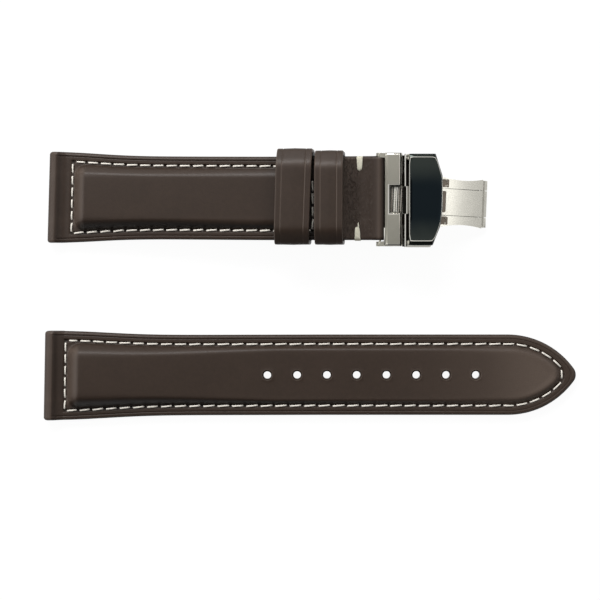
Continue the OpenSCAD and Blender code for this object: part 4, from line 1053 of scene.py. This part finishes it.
def buildStitching(name, half, pointed, tree):
    spots = stitchSpots(half, pointed)
    mesh = newMesh(name, [(s * mm, y * mm, z * mm) for s, y, z, way, reach in spots])
    ways = [(math.cos(way), math.sin(way), 0.0) for s, y, z, way, reach in spots]
    keepValues(mesh, "along", ways, "FLOAT_VECTOR", "vector")
    keepValues(mesh, "reach", [reach * mm for s, y, z, way, reach in spots])
    return runTree(placeObject(name, mesh), tree, {
        "Thread width": thread["width"] * mm, "Sink": thread["sink"] * mm, "Height": thread["height"] * mm,
        "Unevenness": math.radians(thread["uneven"]), "Ply turns": thread["plyTurns"], "Seed": thread["seed"],
        "Thread": creamThread})


stitches = stitchTree()
shortStitching = buildStitching("shortRunningStitches", shortHalf, False, stitches)
tailStitching = buildStitching("tailRunningStitches", tailHalf, True, stitches)
settle(shortStitching, shortPlace, "short_half", "thread", creamThread, "short_stitching")
settle(tailStitching, tailPlace, "tail_half", "thread", creamThread, "tail_stitching")


def strandTree():
    tree, get, sink = openTree("boundStrands", {
        "Strand width": "Float", "Ply turns": "Float", "Thread": "Material"})
    line = addNode(tree, "GeometryNodeMeshToCurve", inputs={0: get["Geometry"]})
    soft = addNode(tree, "GeometryNodeCurveSplineType", {"spline_type": "CATMULL_ROM"}, {0: line})
    fine = addNode(tree, "GeometryNodeSetSplineResolution", inputs={"Geometry": soft, "Resolution": 4})
    share = addNode(tree, "GeometryNodeInputNamedAttribute", {"data_type": "FLOAT"}, {"Name": "share"})
    body = twistedThread(tree, fine.outputs[0], get["Strand width"], share.outputs[0], get["Ply turns"])
    real = addNode(tree, "GeometryNodeRealizeInstances", inputs={0: body})
    done = addNode(tree, "GeometryNodeSetMaterial", inputs={"Geometry": real, "Material": get["Thread"]})
    setInputs(tree, sink, {0: done})
    return tree


# the bound edges: place along the strap, pitch of the strands at the edge and inside, and reach inward
tacks = {"atNorth": 69.15, "atSouth": 68.66, "strands": 5, "strandWidth": 0.3, "plyTurns": 9.0,
         "pitchAtEdge": 0.255, "pitchInside": 0.185, "reachNorth": 2.95, "reachSouth": 2.75,
         "extraSouth": 0.95, "seed": 5}


def buildTacks(name):
    chance = np.random.default_rng(tacks["seed"])
    top = shortHalf["edgeThickness"]
    points, edges, shares = [], [], []
    for side in (1, -1):
        out = shortHalf["narrowHalf"] - (0.2 if side > 0 else 0.08)
        for k in range(tacks["strands"]):
            mid = k - (tacks["strands"] - 1) / 2
            reach = tacks["reachNorth"] if side > 0 else tacks["reachSouth"]
            extra = tacks["extraSouth"] if side < 0 and k == 3 else 0.0  # one strand runs further in
            reach += chance.uniform(-0.16, 0.1) - 0.12 * abs(mid) + extra
            lift = chance.uniform(0.0, 0.06) + 0.03 * (1 - abs(mid) / 2)
            # across the strap, height and share of the width: over the top, round the edge and back below
            path = [(out - reach - 0.1, top - 0.3, 0.2), (out - reach, top, 0.5),
                    (out - reach + 0.45, top + 0.09 + lift, 0.9),
                    (out - reach * 0.5, top + 0.12 + lift, 1.05), (out - 0.7, top + 0.12 + lift, 1.0),
                    (out - 0.22, top + 0.03, 1.0), (out + 0.08, top - 0.35, 1.0), (out + 0.13, 1.2, 1.0),
                    (out + 0.08, 0.35, 1.0), (out - 0.25, -0.07, 1.0), (out - 0.9, -0.1, 1.0),
                    (out - reach * 0.8, -0.05, 0.8), (out - reach * 0.86, 0.25, 0.4)]
            at, base = tacks["atNorth"] if side > 0 else tacks["atSouth"], len(points)
            for n, (y, z, share) in enumerate(path):
                outward = min(1, max(0, 1 - (out - y) / reach))
                spread = tacks["pitchInside"] + (tacks["pitchAtEdge"] - tacks["pitchInside"]) * outward
                s = at + mid * spread + chance.uniform(-0.025, 0.025)
                points.append((s * mm, side * y * mm, z * mm))
                shares.append(share)
                if n:
                    edges.append((base + n - 1, base + n))
    mesh = newMesh(name, points, edges)
    keepValues(mesh, "share", shares)
    return runTree(placeObject(name, mesh), strandTree(), {
        "Strand width": tacks["strandWidth"] * mm, "Ply turns": tacks["plyTurns"], "Thread": tackThread})


loopTacks = buildTacks("loopTackBinding")
settle(loopTacks, shortPlace, "short_half", "thread", tackThread, "loop_tacks")
print("stage: stitching", [len(piece.data.polygons) for piece in (shortStitching, tailStitching, loopTacks)])


# Keepers

keepers = {"innerWidth": 18.46, "innerHeight": 6.2, "thickness": 1.1, "creaseFromEdge": 1.32,
           "creaseDepth": 0.05,
           # the side slope: where it ends, how steep it is, how soft its bend, and how far the corner falls
           "outerBend": (3.1, 0.66, 0.36, 0.45), "innerBend": (2.5, 0.6, 0.3, 0.3),
           # where each starts and ends along the strap, its gap under the lining, how askew it lies,
           # how far its top stands out past its inside at each edge, and how far it is pushed north
           "fixed": {"start": 59.58, "end": 65.75, "under": 0.0, "skew": 0.003, "side": 0.95, "shift": 0.05},
           "free": {"start": 51.05, "end": 58.72, "under": 0.06, "skew": 0.028, "side": 1.18, "shift": 0.3}}


def loopPath(halfW, low, high, bend, rLow):
    # Half the loop from the bottom middle to the top middle, then mirrored
    flatSteps, cornerSteps, sideSteps, slopeSteps = 26, 14, 9, 28
    start, steep, soft, rounded = bend
    flatLow, wide = halfW - rLow, start + 2.2

    def fall(d):  # how far the top has dropped at distance d from its side
        return steep * soft * math.log1p(math.exp((start - d) / soft)) + rounded * math.exp(-d / 0.16)

    half = [(y, low) for y in np.linspace(0, flatLow, flatSteps)]
    corner = np.linspace(0, math.pi / 2, cornerSteps)[1:]
    half += [(flatLow + rLow * math.sin(a), low + rLow - rLow * math.cos(a)) for a in corner]
    half += [(halfW, z) for z in np.linspace(low + rLow, high - fall(0), sideSteps)[1:]]
    half += [(halfW - wide * v ** 1.5, high - fall(wide * v ** 1.5))
             for v in np.linspace(0, 1, slopeSteps)[1:-1]]
    half += [(y, high) for y in np.linspace(halfW - wide, 0, flatSteps)]
    half = np.array(half)
    return np.concatenate([half, (half[1:-1] * [-1, 1])[::-1]])


def buildKeeper(name, start, end, under, skew, side, shift):
    wide, t = end - start, keepers["thickness"]
    inner = loopPath(keepers["innerWidth"] / 2, -under, keepers["innerHeight"] - under,
                     keepers["innerBend"], 0.5)
    outer = loopPath(keepers["innerWidth"] / 2 + side, -under - t, keepers["innerHeight"] + t - under,
                     keepers["outerBend"], 1.6)
    inner[:, 0] += shift / 2
    outer[:, 0] += shift
    outer[:, 1] -= 0.22 * bell(outer[:, 0] / 3.1, 1.0) ** 2 * (outer[:, 1] < 0)
    c = keepers["creaseFromEdge"]
    # points of the section: place along the strap, share of the thickness, and tone; the crease's edges get a
    # painted highlight, and the rounded side edges are burnished lighter with a painted highlight
    groove = [(-0.24, 0.0, 0.0), (-0.15, -0.2, 0.2), (-0.08, 0.1, 0.6), (-0.03, 0.75, 0.75), (0.03, 1.0, 0.6),
              (0.09, 0.75, 0.25), (0.16, 0.2, 0.0), (0.26, 0.0, 0.0)]
    section = [(0.34, 0.0, -0.2), (0.12, 0.06, -0.2), (0.02, 0.22, -0.2), (0.0, 0.45, 0.1), (0.0, 0.72, 0.4),
               (0.04, 0.86, 0.6), (0.12, 0.95, 0.5), (0.24, 0.995, 0.15), (0.45, 1.0, 0.0), (0.85, 1.0, 0.0)]
    section += [(c + u, 1 - keepers["creaseDepth"] / t * g, v) for u, g, v in groove]
    section += [(c + 0.26 + (wide / 2 - c - 0.26) * k, 1.0 + 0.05 * k, 0.0) for k in (0.25, 0.5, 0.75)]
    mirror = [(wide - u, w, v) for u, w, v in section][::-1]
    ring = section + [(wide / 2, 1.055, 0.0)] + mirror + [(wide * k, 0.0, -0.3) for k in (0.8, 0.6, 0.4, 0.2)]
    count = len(inner)
    verts, tones = [], []
    reach = keepers["innerWidth"] / 2 + side
    for (yi, zi), (yo, zo) in zip(inner, outer):
        lean = skew * yo
        faded = float(1 - 0.85 * smoothStep(abs(yo), reach - 4.0, reach - 2.0))
        # across the top: a painted highlight along the north bend, painted shade down the south rounding, and
        # a lighter line at the south edge
        bend = 0.26 * math.exp(-((yo - reach + 3.0) / 0.8) ** 2) \
            - 0.42 * float(smoothStep(-yo, reach - 3.4, reach - 0.9)) \
            + 0.5 * math.exp(-((yo + reach) / 0.25) ** 2)
        for u, w, v in ring:
            along = start + u + lean * (1 + 0.35 * u / wide)
            verts.append((along * mm, (yi + (yo - yi) * w) * mm, (zi + (zo - zi) * w) * mm))
            grooved = c - 0.3 < u < c + 0.3 or c - 0.3 < wide - u < c + 0.3
            tones.append(v * (faded if grooved else 1.0) + (bend if w > 0.8 and zo > 2 else 0.0))
    m = len(ring)
    faces = [[i * m + k, i * m + (k + 1) % m, ((i + 1) % count) * m + (k + 1) % m, ((i + 1) % count) * m + k]
             for i in range(count) for k in range(m)]
    mesh = newMesh(name, verts, faces=faces)
    keepValues(mesh, "tone", np.clip(np.array(tones, np.float32), -1, 1))
    work = bmesh.new()
    work.from_mesh(mesh)
    bmesh.ops.recalc_face_normals(work, faces=work.faces)
    work.to_mesh(mesh)
    work.free()
    mesh.shade_smooth()
    return placeObject(name, mesh)


fixedKeeper = buildKeeper("fixedKeeperLoop", **keepers["fixed"])
freeKeeper = buildKeeper("freeKeeperLoop", **keepers["free"])
settle(fixedKeeper, shortPlace, "short_half", "strap_leather", strapCalf, "fixed_keeper")
settle(freeKeeper, shortPlace, "free_keeper", "strap_leather", strapCalf, "free_keeper")
print("stage: keepers")


# Clasp metal

clasp = {
    "middleX": 20.4, "middleY": 19.3, "baseShift": -0.3, "baseTurn": -2.4,
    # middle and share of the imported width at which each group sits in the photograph
    "leftFit": (18.97, 0.99), "rightFit": (18.78, 0.965), "coverFit": (18.89, 0.958),
    "archZ": -30.752, "archInner": 36.0, "archOuter": 36.9,
    "sharpFrom": 28, "smoothBelow": 35, "builtSmoothBelow": 32,  # angles between faces, in degrees
}


def turnAbout(x, y, degrees):
    at = Matrix.Translation(Vector((x, y, 0)) * mm)
    return at @ Matrix.Rotation(math.radians(degrees), 4, "Z") @ at.inverted()


def widthFit(middle, share):
    return Matrix.Translation(Vector((0, middle, 0)) * mm) @ Matrix.Diagonal((1, share, 1, 1)) @ \
        Matrix.Translation(Vector((0, -clasp["middleY"], 0)) * mm)


baseFit = Matrix.Translation(Vector((0, clasp["baseShift"], 0)) * mm) @ \
    turnAbout(clasp["middleX"], clasp["middleY"], clasp["baseTurn"])
fits = {"base": baseFit, "left_wing": baseFit, "right_wing": baseFit,
        "left_frame": widthFit(*clasp["leftFit"]),
        "plunger_north": widthFit(*clasp["leftFit"]), "plunger_south": widthFit(*clasp["leftFit"]),
        "right_frame": widthFit(*clasp["rightFit"]), "cover": widthFit(*clasp["coverFit"])}


def archHeight(u, radius):
    return clasp["archZ"] + np.sqrt(radius ** 2 - u * u)


def flushBarrels(points):  # the end barrels run on from the arch without a ridge
    u = points[:, 0] - clasp["middleX"]
    top = archHeight(u, clasp["archOuter"])
    high = (np.abs(u) > 16.4) & (points[:, 2] > top)
    points[high, 2] = top[high]
    return points


def tuckedCorners(points):  # kept under the cover's slanted corners
    far = (points[:, 0] > 27.0) & (np.abs(points[:, 1] - clasp["middleY"]) > 7.0)
    points[far, 0] -= 1.5
    return points


def underPlate(points):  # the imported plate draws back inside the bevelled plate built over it
    x, y, z = points.T
    body = (x > 16.2) & (z > 9.0)
    points[body & (z > 9.5), 2] -= 0.35
    points[body & (x > 19.3), 0] -= 0.14
    points[body, 1] = clasp["middleY"] + (y[body] - clasp["middleY"]) * 0.985
    ear = x < 15.2
    points[ear, 0] = 15.2 + (x[ear] - 15.2) * 0.7
    return points


def dressMetal(node, name, body, slot, material, edge, glint=None, shape=None, fit=None):
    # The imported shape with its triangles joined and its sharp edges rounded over; glint is the edges' steel
    mesh = nodes[node].data.copy()
    mesh.name = name
    if shape:
        writePoints(mesh, shape(readPoints(mesh) / mm) * mm)
    mesh.materials.clear()
    for one in [material, glint or material]:
        mesh.materials.append(one)
    for face in mesh.polygons:
        face.material_index = 0
    work = bmesh.new()
    work.from_mesh(mesh)
    bmesh.ops.remove_doubles(work, verts=work.verts, dist=2e-6)
    bmesh.ops.dissolve_limit(work, angle_limit=math.radians(0.6), verts=work.verts, edges=work.edges)
    if edge:
        least = math.radians(clasp["sharpFrom"])
        sharp = [e for e in work.edges if len(e.link_faces) == 2 and e.calc_face_angle(0) > least]
        bmesh.ops.bevel(work, geom=sharp, offset=edge * mm, segments=2, profile=0.5, affect="EDGES",
                        clamp_overlap=True, material=1 if glint else -1)
    bmesh.ops.recalc_face_normals(work, faces=work.faces)
    work.transform(fits[fit or body])
    work.to_mesh(mesh)
    work.free()
    mesh.shade_smooth()
    mesh.set_sharp_from_angle(angle=math.radians(clasp["smoothBelow"]))
    return rideMetal(placeObject(name, mesh), body, slot, node)


def rideMetal(piece, body, slot, *replaced):
    # Normals weighted by face size keep the flats flat right up to their rounded edges
    piece.modifiers.new("faceWeight", "WEIGHTED_NORMAL").keep_sharp = True
    view = bpy.context.evaluated_depsgraph_get()
    made = bpy.data.meshes.new_from_object(piece.evaluated_get(view), depsgraph=view)
    piece.modifiers.clear()
    piece.data, made.name = made, piece.name
    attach(piece, body)
    if replaced:
        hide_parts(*replaced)
    return piece


def addBlock(work, low, high, number, edge, slant=(0.0, 0.0)):
    # Closed block between two corners; slant moves its top along Y at the south and the north end
    made = bmesh.ops.create_cube(work, size=1.0)["verts"]
    for v in made:
        share = v.co + Vector((0.5, 0.5, 0.5))
        v.co = Vector([low[k] + (high[k] - low[k]) * share[k] for k in range(3)]) * mm
        if share.z > 0.5:
            v.co.y += slant[1 if share.y > 0.5 else 0] * mm
    faces = {f for v in made for f in v.link_faces}
    for face in faces:
        face.material_index = number
    bmesh.ops.bevel(work, geom=list({e for f in faces for e in f.edges}), offset=edge * mm, segments=2,
                    profile=0.5, affect="EDGES", clamp_overlap=True)


def addLoft(work, sections, numbers):
    # Closed body through equal rings of points; numbers gives the material of each lengthwise strip
    rings = [[work.verts.new(Vector(p) * mm) for p in ring] for ring in sections]
    count = len(sections[0])
    for one, two in zip(rings[:-1], rings[1:]):
        for k in range(count):
            m = (k + 1) % count
            work.faces.new((one[k], one[m], two[m], two[k])).material_index = numbers[k]
    work.faces.new(rings[0][::-1]).material_index = numbers[-1]
    work.faces.new(rings[-1]).material_index = numbers[-1]


def addTube(work, centre, radius, hole, low, high, number, inside):  # upright boss with its eye painted dark for shade
    for r, z0, z1, kind in ((radius, low, high, number), (hole, high - 0.05, high + 0.012, inside)):
        made = bmesh.ops.create_cone(work, cap_ends=True, segments=28, radius1=r * mm,
                                     radius2=(r * 0.93) * mm, depth=(z1 - z0) * mm)["verts"]
        for v in made:
            v.co += Vector((centre[0], centre[1], (z0 + z1) / 2)) * mm
        for face in {f for v in made for f in v.link_faces}:
            face.material_index = kind


def finishMetal(name, work, materials, body, slot, *replaced):
    bmesh.ops.recalc_face_normals(work, faces=work.faces)
    mesh = bpy.data.meshes.new(name)
    for one in materials:
        mesh.materials.append(one)
    work.to_mesh(mesh)
    work.free()
    mesh.shade_smooth()
    mesh.set_sharp_from_angle(angle=math.radians(clasp["builtSmoothBelow"]))
    return rideMetal(placeObject(name, mesh), body, slot, *replaced)


def addStrip(work, u0, u1, y0, y1, r0, r1, number, steps=14, tip=0.0):
    # Closed strip that follows the arch; tip rounds the corners of its outer end
    reach, ring = [], []
    for u in np.linspace(u0, u1 - tip, steps + 1):
        reach.append((u, 0.0))
    reach += [(u1 - tip + tip * math.sin(a), tip * (1 - math.cos(a)))
              for a in (0.5, 0.95, 1.3, 1.5)] if tip else []
    for u, draw in reach:
        z = [archHeight(u, r) for r in (r0, r1)]
        x, low, high = clasp["middleX"] + u, clasp["middleY"] + y0 + draw, clasp["middleY"] + y1 - draw
        ring.append([(x, low, z[0]), (x, high, z[0]), (x, high, z[1]), (x, low, z[1])])
    addLoft(work, ring, [number] * 4)


# painted shade laid on the steel. Ledges: from and to along the arch, then from and to across it; each catch
# slot's distance from the middle, and how far its rims stand proud; the right strip's inlay along, across and
# between two radii of the arch
shadeInlays = {"ledge": (8.4, 17.2, 2.6, 3.45), "slotY": 4.1, "skin": 0.012,
          "right": (7.9, 9.4, -2.35, 2.35, 37.8, 37.915)}


def plateShadeInlays(work):  # painted shade: dark ledges under the window gaps, darkened rims and floors of the catch slots
    low, high = clasp["archInner"], clasp["archOuter"]
    u0, u1, v0, v1 = shadeInlays["ledge"]
    for way in (1, -1):
        for side in (1, -1):
            along, across = sorted((way * u0, way * u1)), sorted((side * v0, side * v1))
            addStrip(work, *along, *across, low - 0.2, low - 0.01, 3)
    for side in (1, -1):
        y = side * shadeInlays["slotY"]
        addStrip(work, 5.4, 9.9, y - 0.66, y + 0.66, low + 0.2, low + 0.8, 2)
        for y0, y1 in ((y - 0.88, y - 0.64), (y + 0.64, y + 0.88)):
            addStrip(work, 7.2, 9.72, y0, y1, high - 0.1, high + shadeInlays["skin"], 2, 8)
        addStrip(work, 9.7, 10.06, y - 0.88, y + 0.88, high - 0.1, high + shadeInlays["skin"], 2, 2, 0.24)
        addStrip(work, -4.7, -1.9, y - 0.95, y + 0.95, low - 0.22, low - 0.01, 2)


framePlate = {"base": 9.24, "top": 10.04, "half": 10.15, "notch": 2.98, "bridgeHalf": 3.3}


def buildFramePlate(name):
    # Bevelled satin plate in two arms and a bridge, with a groove before its rounded inner lip; the groove
    # and the blocks round the notch are near black, painted shade
    work = bmesh.new()
    base, top, half, notch = framePlate["base"], framePlate["top"], framePlate["half"], framePlate["notch"]
    middle = clasp["leftFit"][0]
    # x, z and material of each point of the two sections
    arm = [(16.25, base, 0), (16.25, 9.62, 0), (16.76, top, 0), (19.36, top, 1), (19.46, 9.98, 2),
           (19.5, 9.8, 2), (19.74, 9.8, 2), (19.78, 9.98, 1), (19.84, 9.93, 1), (19.91, 9.76, 1),
           (19.92, 9.6, 1), (19.84, 9.34, 1), (19.7, base, 0)]
    bridge = [(16.25, base, 0), (16.25, 9.62, 0), (16.76, top, 0), (16.82, top, 1), (17.12, 10.02, 1),
              (17.17, 9.9, 1), (17.17, base, 0)]
    for side in (1, -1):
        ends = [(notch, 0.24), (3.06, 0.08), (3.26, 0.0), (half - 0.5, 0.0), (half - 0.16, 0.18),
                (half, 0.44)]
        rings = [[(x, middle + side * y, max(base, z - drop)) for x, z, kind in arm] for y, drop in ends]
        addLoft(work, rings, [kind for x, z, kind in arm])
        for face in work.faces:
            at = face.calc_center_median() / mm
            away = abs(at.y - middle)
            if not 3.26 < away < half - 0.5 and at.z > base + 0.05 and at.x < 19.4:
                face.material_index = 0 if away > half - 0.16 else 1
    ends = (-framePlate["bridgeHalf"], framePlate["bridgeHalf"])
    rings = [[(x, middle + y, z) for x, z, kind in bridge] for y in ends]
    addLoft(work, rings, [kind for x, z, kind in bridge])
    # near black blocks round the notch: painted shade inside it
    for low, high in (((17.14, middle - notch, 8.5), (17.4, middle + notch, 9.6)),
                      ((17.3, middle + notch - 0.2, 8.5), (19.62, middle + notch + 0.04, 9.6)),
                      ((17.3, middle - notch - 0.04, 8.5), (19.62, middle - notch + 0.2, 9.6))):
        addBlock(work, low, high, 2, 0.05)
    addBlock(work, (15.98, middle - half + 0.35, 9.46), (16.3, middle - half + 4.0, 9.74), 1, 0.06)
    return finishMetal(name, work, [satinSteel, polishedSteel, paintedShadeSteel], "left_frame", "satin_steel")


rolls = {
    "south": 16.52, "north": 22.08, "foot": 7.1,
    # from and to along X, top, material and rounding of each ridge and seam; the black seams and the darker
    # ridges are painted shade
    "ridges": [(17.44, 17.62, 8.16, 3, 0.01), (17.62, 17.98, 8.2, 2, 0.08), (18.0, 18.16, 8.16, 3, 0.01),
               (18.2, 18.64, 8.2, 0, 0.08), (18.72, 18.96, 8.22, 1, 0.03), (18.97, 19.18, 8.17, 3, 0.01),
               (19.24, 19.5, 8.15, 2, 0.04), (19.52, 19.66, 8.12, 3, 0.01), (19.68, 20.12, 7.98, 2, 0.14)],
}


def rolledEnd(work):  # the strip's end, folded back over the roll, with painted shade in its seams
    for x0, x1, top, kind, edge in rolls["ridges"]:
        addBlock(work, (x0, rolls["south"], rolls["foot"]), (x1, rolls["north"], top), kind, edge)


adjuster = {
    # low and high corner, material and rounding: the wall in three parts, its middle one further east
    "blocks": [((20.46, 8.66, 7.3), (20.78, 15.9, 9.95), 1, 0.05),
               ((20.8, 15.8, 7.3), (21.12, 21.9, 9.95), 1, 0.05),
               ((20.46, 21.8, 7.3), (20.78, 28.86, 9.95), 1, 0.05),
               # its foot and the shelf, south and north, near black as painted shade
               ((20.18, 8.76, 6.28), (20.6, 15.95, 6.5), 0, 0.03),
               ((20.7, 8.76, 8.2), (21.95, 15.95, 8.4), 0, 0.03),
               ((20.18, 21.95, 6.28), (20.6, 28.76, 6.5), 0, 0.03),
               ((20.7, 21.95, 8.2), (21.95, 28.76, 8.4), 0, 0.03),
               # what stands on each side of the middle part, the western one near black as painted shade
               ((20.2, 16.0, 7.4), (20.84, 21.7, 9.0), 0, 0.05),
               ((21.1, 16.0, 8.3), (21.5, 21.7, 9.8), 2, 0.06)],
    # the boss: centre, radius, radius of its eye, foot and top
    "boss": ((20.98, 28.3), 0.46, 0.2, 8.3, 10.1),
}


def buildAdjusterWall(name):
    # Upright wall between the frames, and its foot and the shelf under the cover's rear edge, near black as
    # painted shade
    work = bmesh.new()
    for low, high, number, edge in adjuster["blocks"]:
        addBlock(work, low, high, number, edge)
    addTube(work, *adjuster["boss"], 1, 0)
    return finishMetal(name, work, [paintedShadeSteel, polishedSteel, satinSteel], "right_frame", "satin_steel")


cover = {
    "middleX": 24.6, "half": 9.87, "outlineSteps": 96,
    # each ring's distance inside the ends, the slanted corners, the front and the rear, then its height,
    # its sharpness and its material
    "rings": [(0.3, 0.3, 0.3, 0.2, 11.16, 80, 0), (0.0, 0.0, 0.0, 0.0, 11.2, 150, 1),
              (-0.02, -0.02, -0.02, 0.0, 11.62, 200, 1), (0.1, 0.03, 0.02, 0.0, 11.78, 150, 2),
              (0.5, 0.12, 0.06, 0.01, 12.0, 45, 2), (0.63, 0.15, 0.08, 0.02, 12.05, 26, 2),
              (0.66, 0.16, 0.09, 0.03, 12.12, 24, 1), (0.78, 0.24, 0.14, 0.2, 12.13, 24, 1),
              (0.83, 0.27, 0.16, 0.22, 12.12, 24, 2), (2.2, 1.2, 1.0, 0.9, 12.15, 16, 2),
              (3.0, 2.0, 1.8, 1.5, 12.155, 12, 2)],
}


def coverOutline(ends, slants, front, rear, sharpness):
    # Distance to each side of the eight-sided face, met with corners rounded by sharpness
    centre, reach = (cover["middleX"], clasp["coverFit"][0]), cover["half"]
    sides = [((-1.0, 0.0), 3.3 - rear), ((0.0, 1.0), reach - ends), ((0.0, -1.0), reach - 1.3 * ends),
             ((0.9545, 0.2978), 5.29 - slants), ((0.9275, -0.3737), 5.35 - slants),
             ((1.0, 0.0), 3.96 - front), ((0.9903, -0.139), 4.22 - front)]
    angles = set(np.linspace(0, 2 * math.pi, cover["outlineSteps"], endpoint=False).tolist())
    corners = [(27.06, reach), (28.45, 5.4), (28.45, -3.3), (26.39, -reach), (21.3, reach), (21.3, -reach)]
    angles |= {math.atan2(y, x - centre[0]) % (2 * math.pi) for x, y in corners}
    ring = []
    for a in sorted(angles):
        way = (math.cos(a), math.sin(a))
        pull = [max(1e-6, n[0] * way[0] + n[1] * way[1]) / far for n, far in sides]
        r = sum(q ** sharpness for q in pull) ** (-1 / sharpness)
        ring.append((centre[0] + r * way[0], centre[1] + r * way[1]))
    return ring


def buildCover(name):
    # Face and bevel in steel painted with a dark reflection, inside a bright line; steel sides, and the
    # cheeks that turn on the stub pins
    work = bmesh.new()
    rings = []
    for *insets, height, sharpness, number in cover["rings"]:
        outline = coverOutline(*insets, sharpness)
        rings.append([work.verts.new(Vector((x, y, height)) * mm) for x, y in outline])
    count = len(rings[0])
    for one, two, step in zip(rings[:-1], rings[1:], cover["rings"][1:]):
        for k in range(count):
            m = (k + 1) % count
            work.faces.new((one[k], one[m], two[m], two[k])).material_index = step[-1]
    work.faces.new(rings[0][::-1]).material_index = 0
    work.faces.new(rings[-1]).material_index = 2
    middle, half = clasp["coverFit"][0], cover["half"]
    addBlock(work, (20.95, middle + half - 0.52, 7.75), (26.7, middle + half - 0.02, 11.4), 0, 0.12)
    addBlock(work, (20.95, middle - half - 0.42, 7.75), (26.2, middle - half + 0.5, 11.5), 0, 0.12,
             (0.4, 0.0))
    return finishMetal(name, work, [satinSteel, polishedSteel, paintedDarkReflectionSteel], "cover", "polished_steel",
                       "cover")


for node, name, body in (("base_plate", "archedBasePlate", "base"),
                         ("left_wing", "leftFoldingStrip", "left_wing"),
                         ("right_wing", "rightFoldingStrip", "right_wing")):
    dressMetal(node, name, body, "brushed_steel", brushedSteel, 0.1, polishedSteel, shape=flushBarrels)
dressMetal("left_frame", "hangingFrame", "left_frame", "satin_steel", satinSteel, 0.2, polishedSteel,
           shape=underPlate)
buildFramePlate("bevelledFramePlate")
dressMetal("right_frame", "adjusterFrame", "right_frame", "satin_steel", satinSteel, 0.12, polishedSteel,
           shape=tuckedCorners)
buildAdjusterWall("adjusterWall")
buildCover("darkCover")

inlaySteels = [brushedSteel, polishedSteel, paintedShadeSatin, paintedShadeSteel]
plateWork, leftWork, rightWork = bmesh.new(), bmesh.new(), bmesh.new()
plateShadeInlays(plateWork)
rolledEnd(leftWork)
addStrip(rightWork, *shadeInlays["right"], 2, 6, 0.3)
for work, name, body in ((plateWork, "basePlatePaintedShade", "base"), (leftWork, "leftStripFold", "left_wing"),
                         (rightWork, "rightStripPaintedShade", "right_wing")):
    work.transform(fits[body])
    finishMetal(name, work, inlaySteels, body, "brushed_steel")

for node, name, body in (("left_base_pin", "leftBasePin", "base"), ("right_base_pin", "rightBasePin", "base"),
                         ("left_frame_pin", "leftFramePin", "left_frame"),
                         ("right_frame_pin", "rightFramePin", "right_frame")):
    dressMetal(node, name, body, "pin_steel", pinSteel, 0.06)
for way in ("north", "south"):
    dressMetal("cover_pin_" + way, way + "CoverPin", "right_frame", "pin_steel", pinSteel, 0.06, fit="cover")
dressMetal("prong", "adjusterProng", "right_frame", "polished_steel", polishedSteel, 0.12, fit="cover")
dressMetal("bar_tube", "springBarTube", "left_frame", "bar_steel", pinSteel, 0.08)
for way in ("north", "south"):
    dressMetal("bar_plunger_" + way, way + "Plunger", "plunger_" + way, "bar_steel", polishedSteel, 0.05)
dressMetal("bar_spring", "barCoilSpring", "left_frame", "spring_steel", springSteel, 0.0)
print("stage: clasp metal")
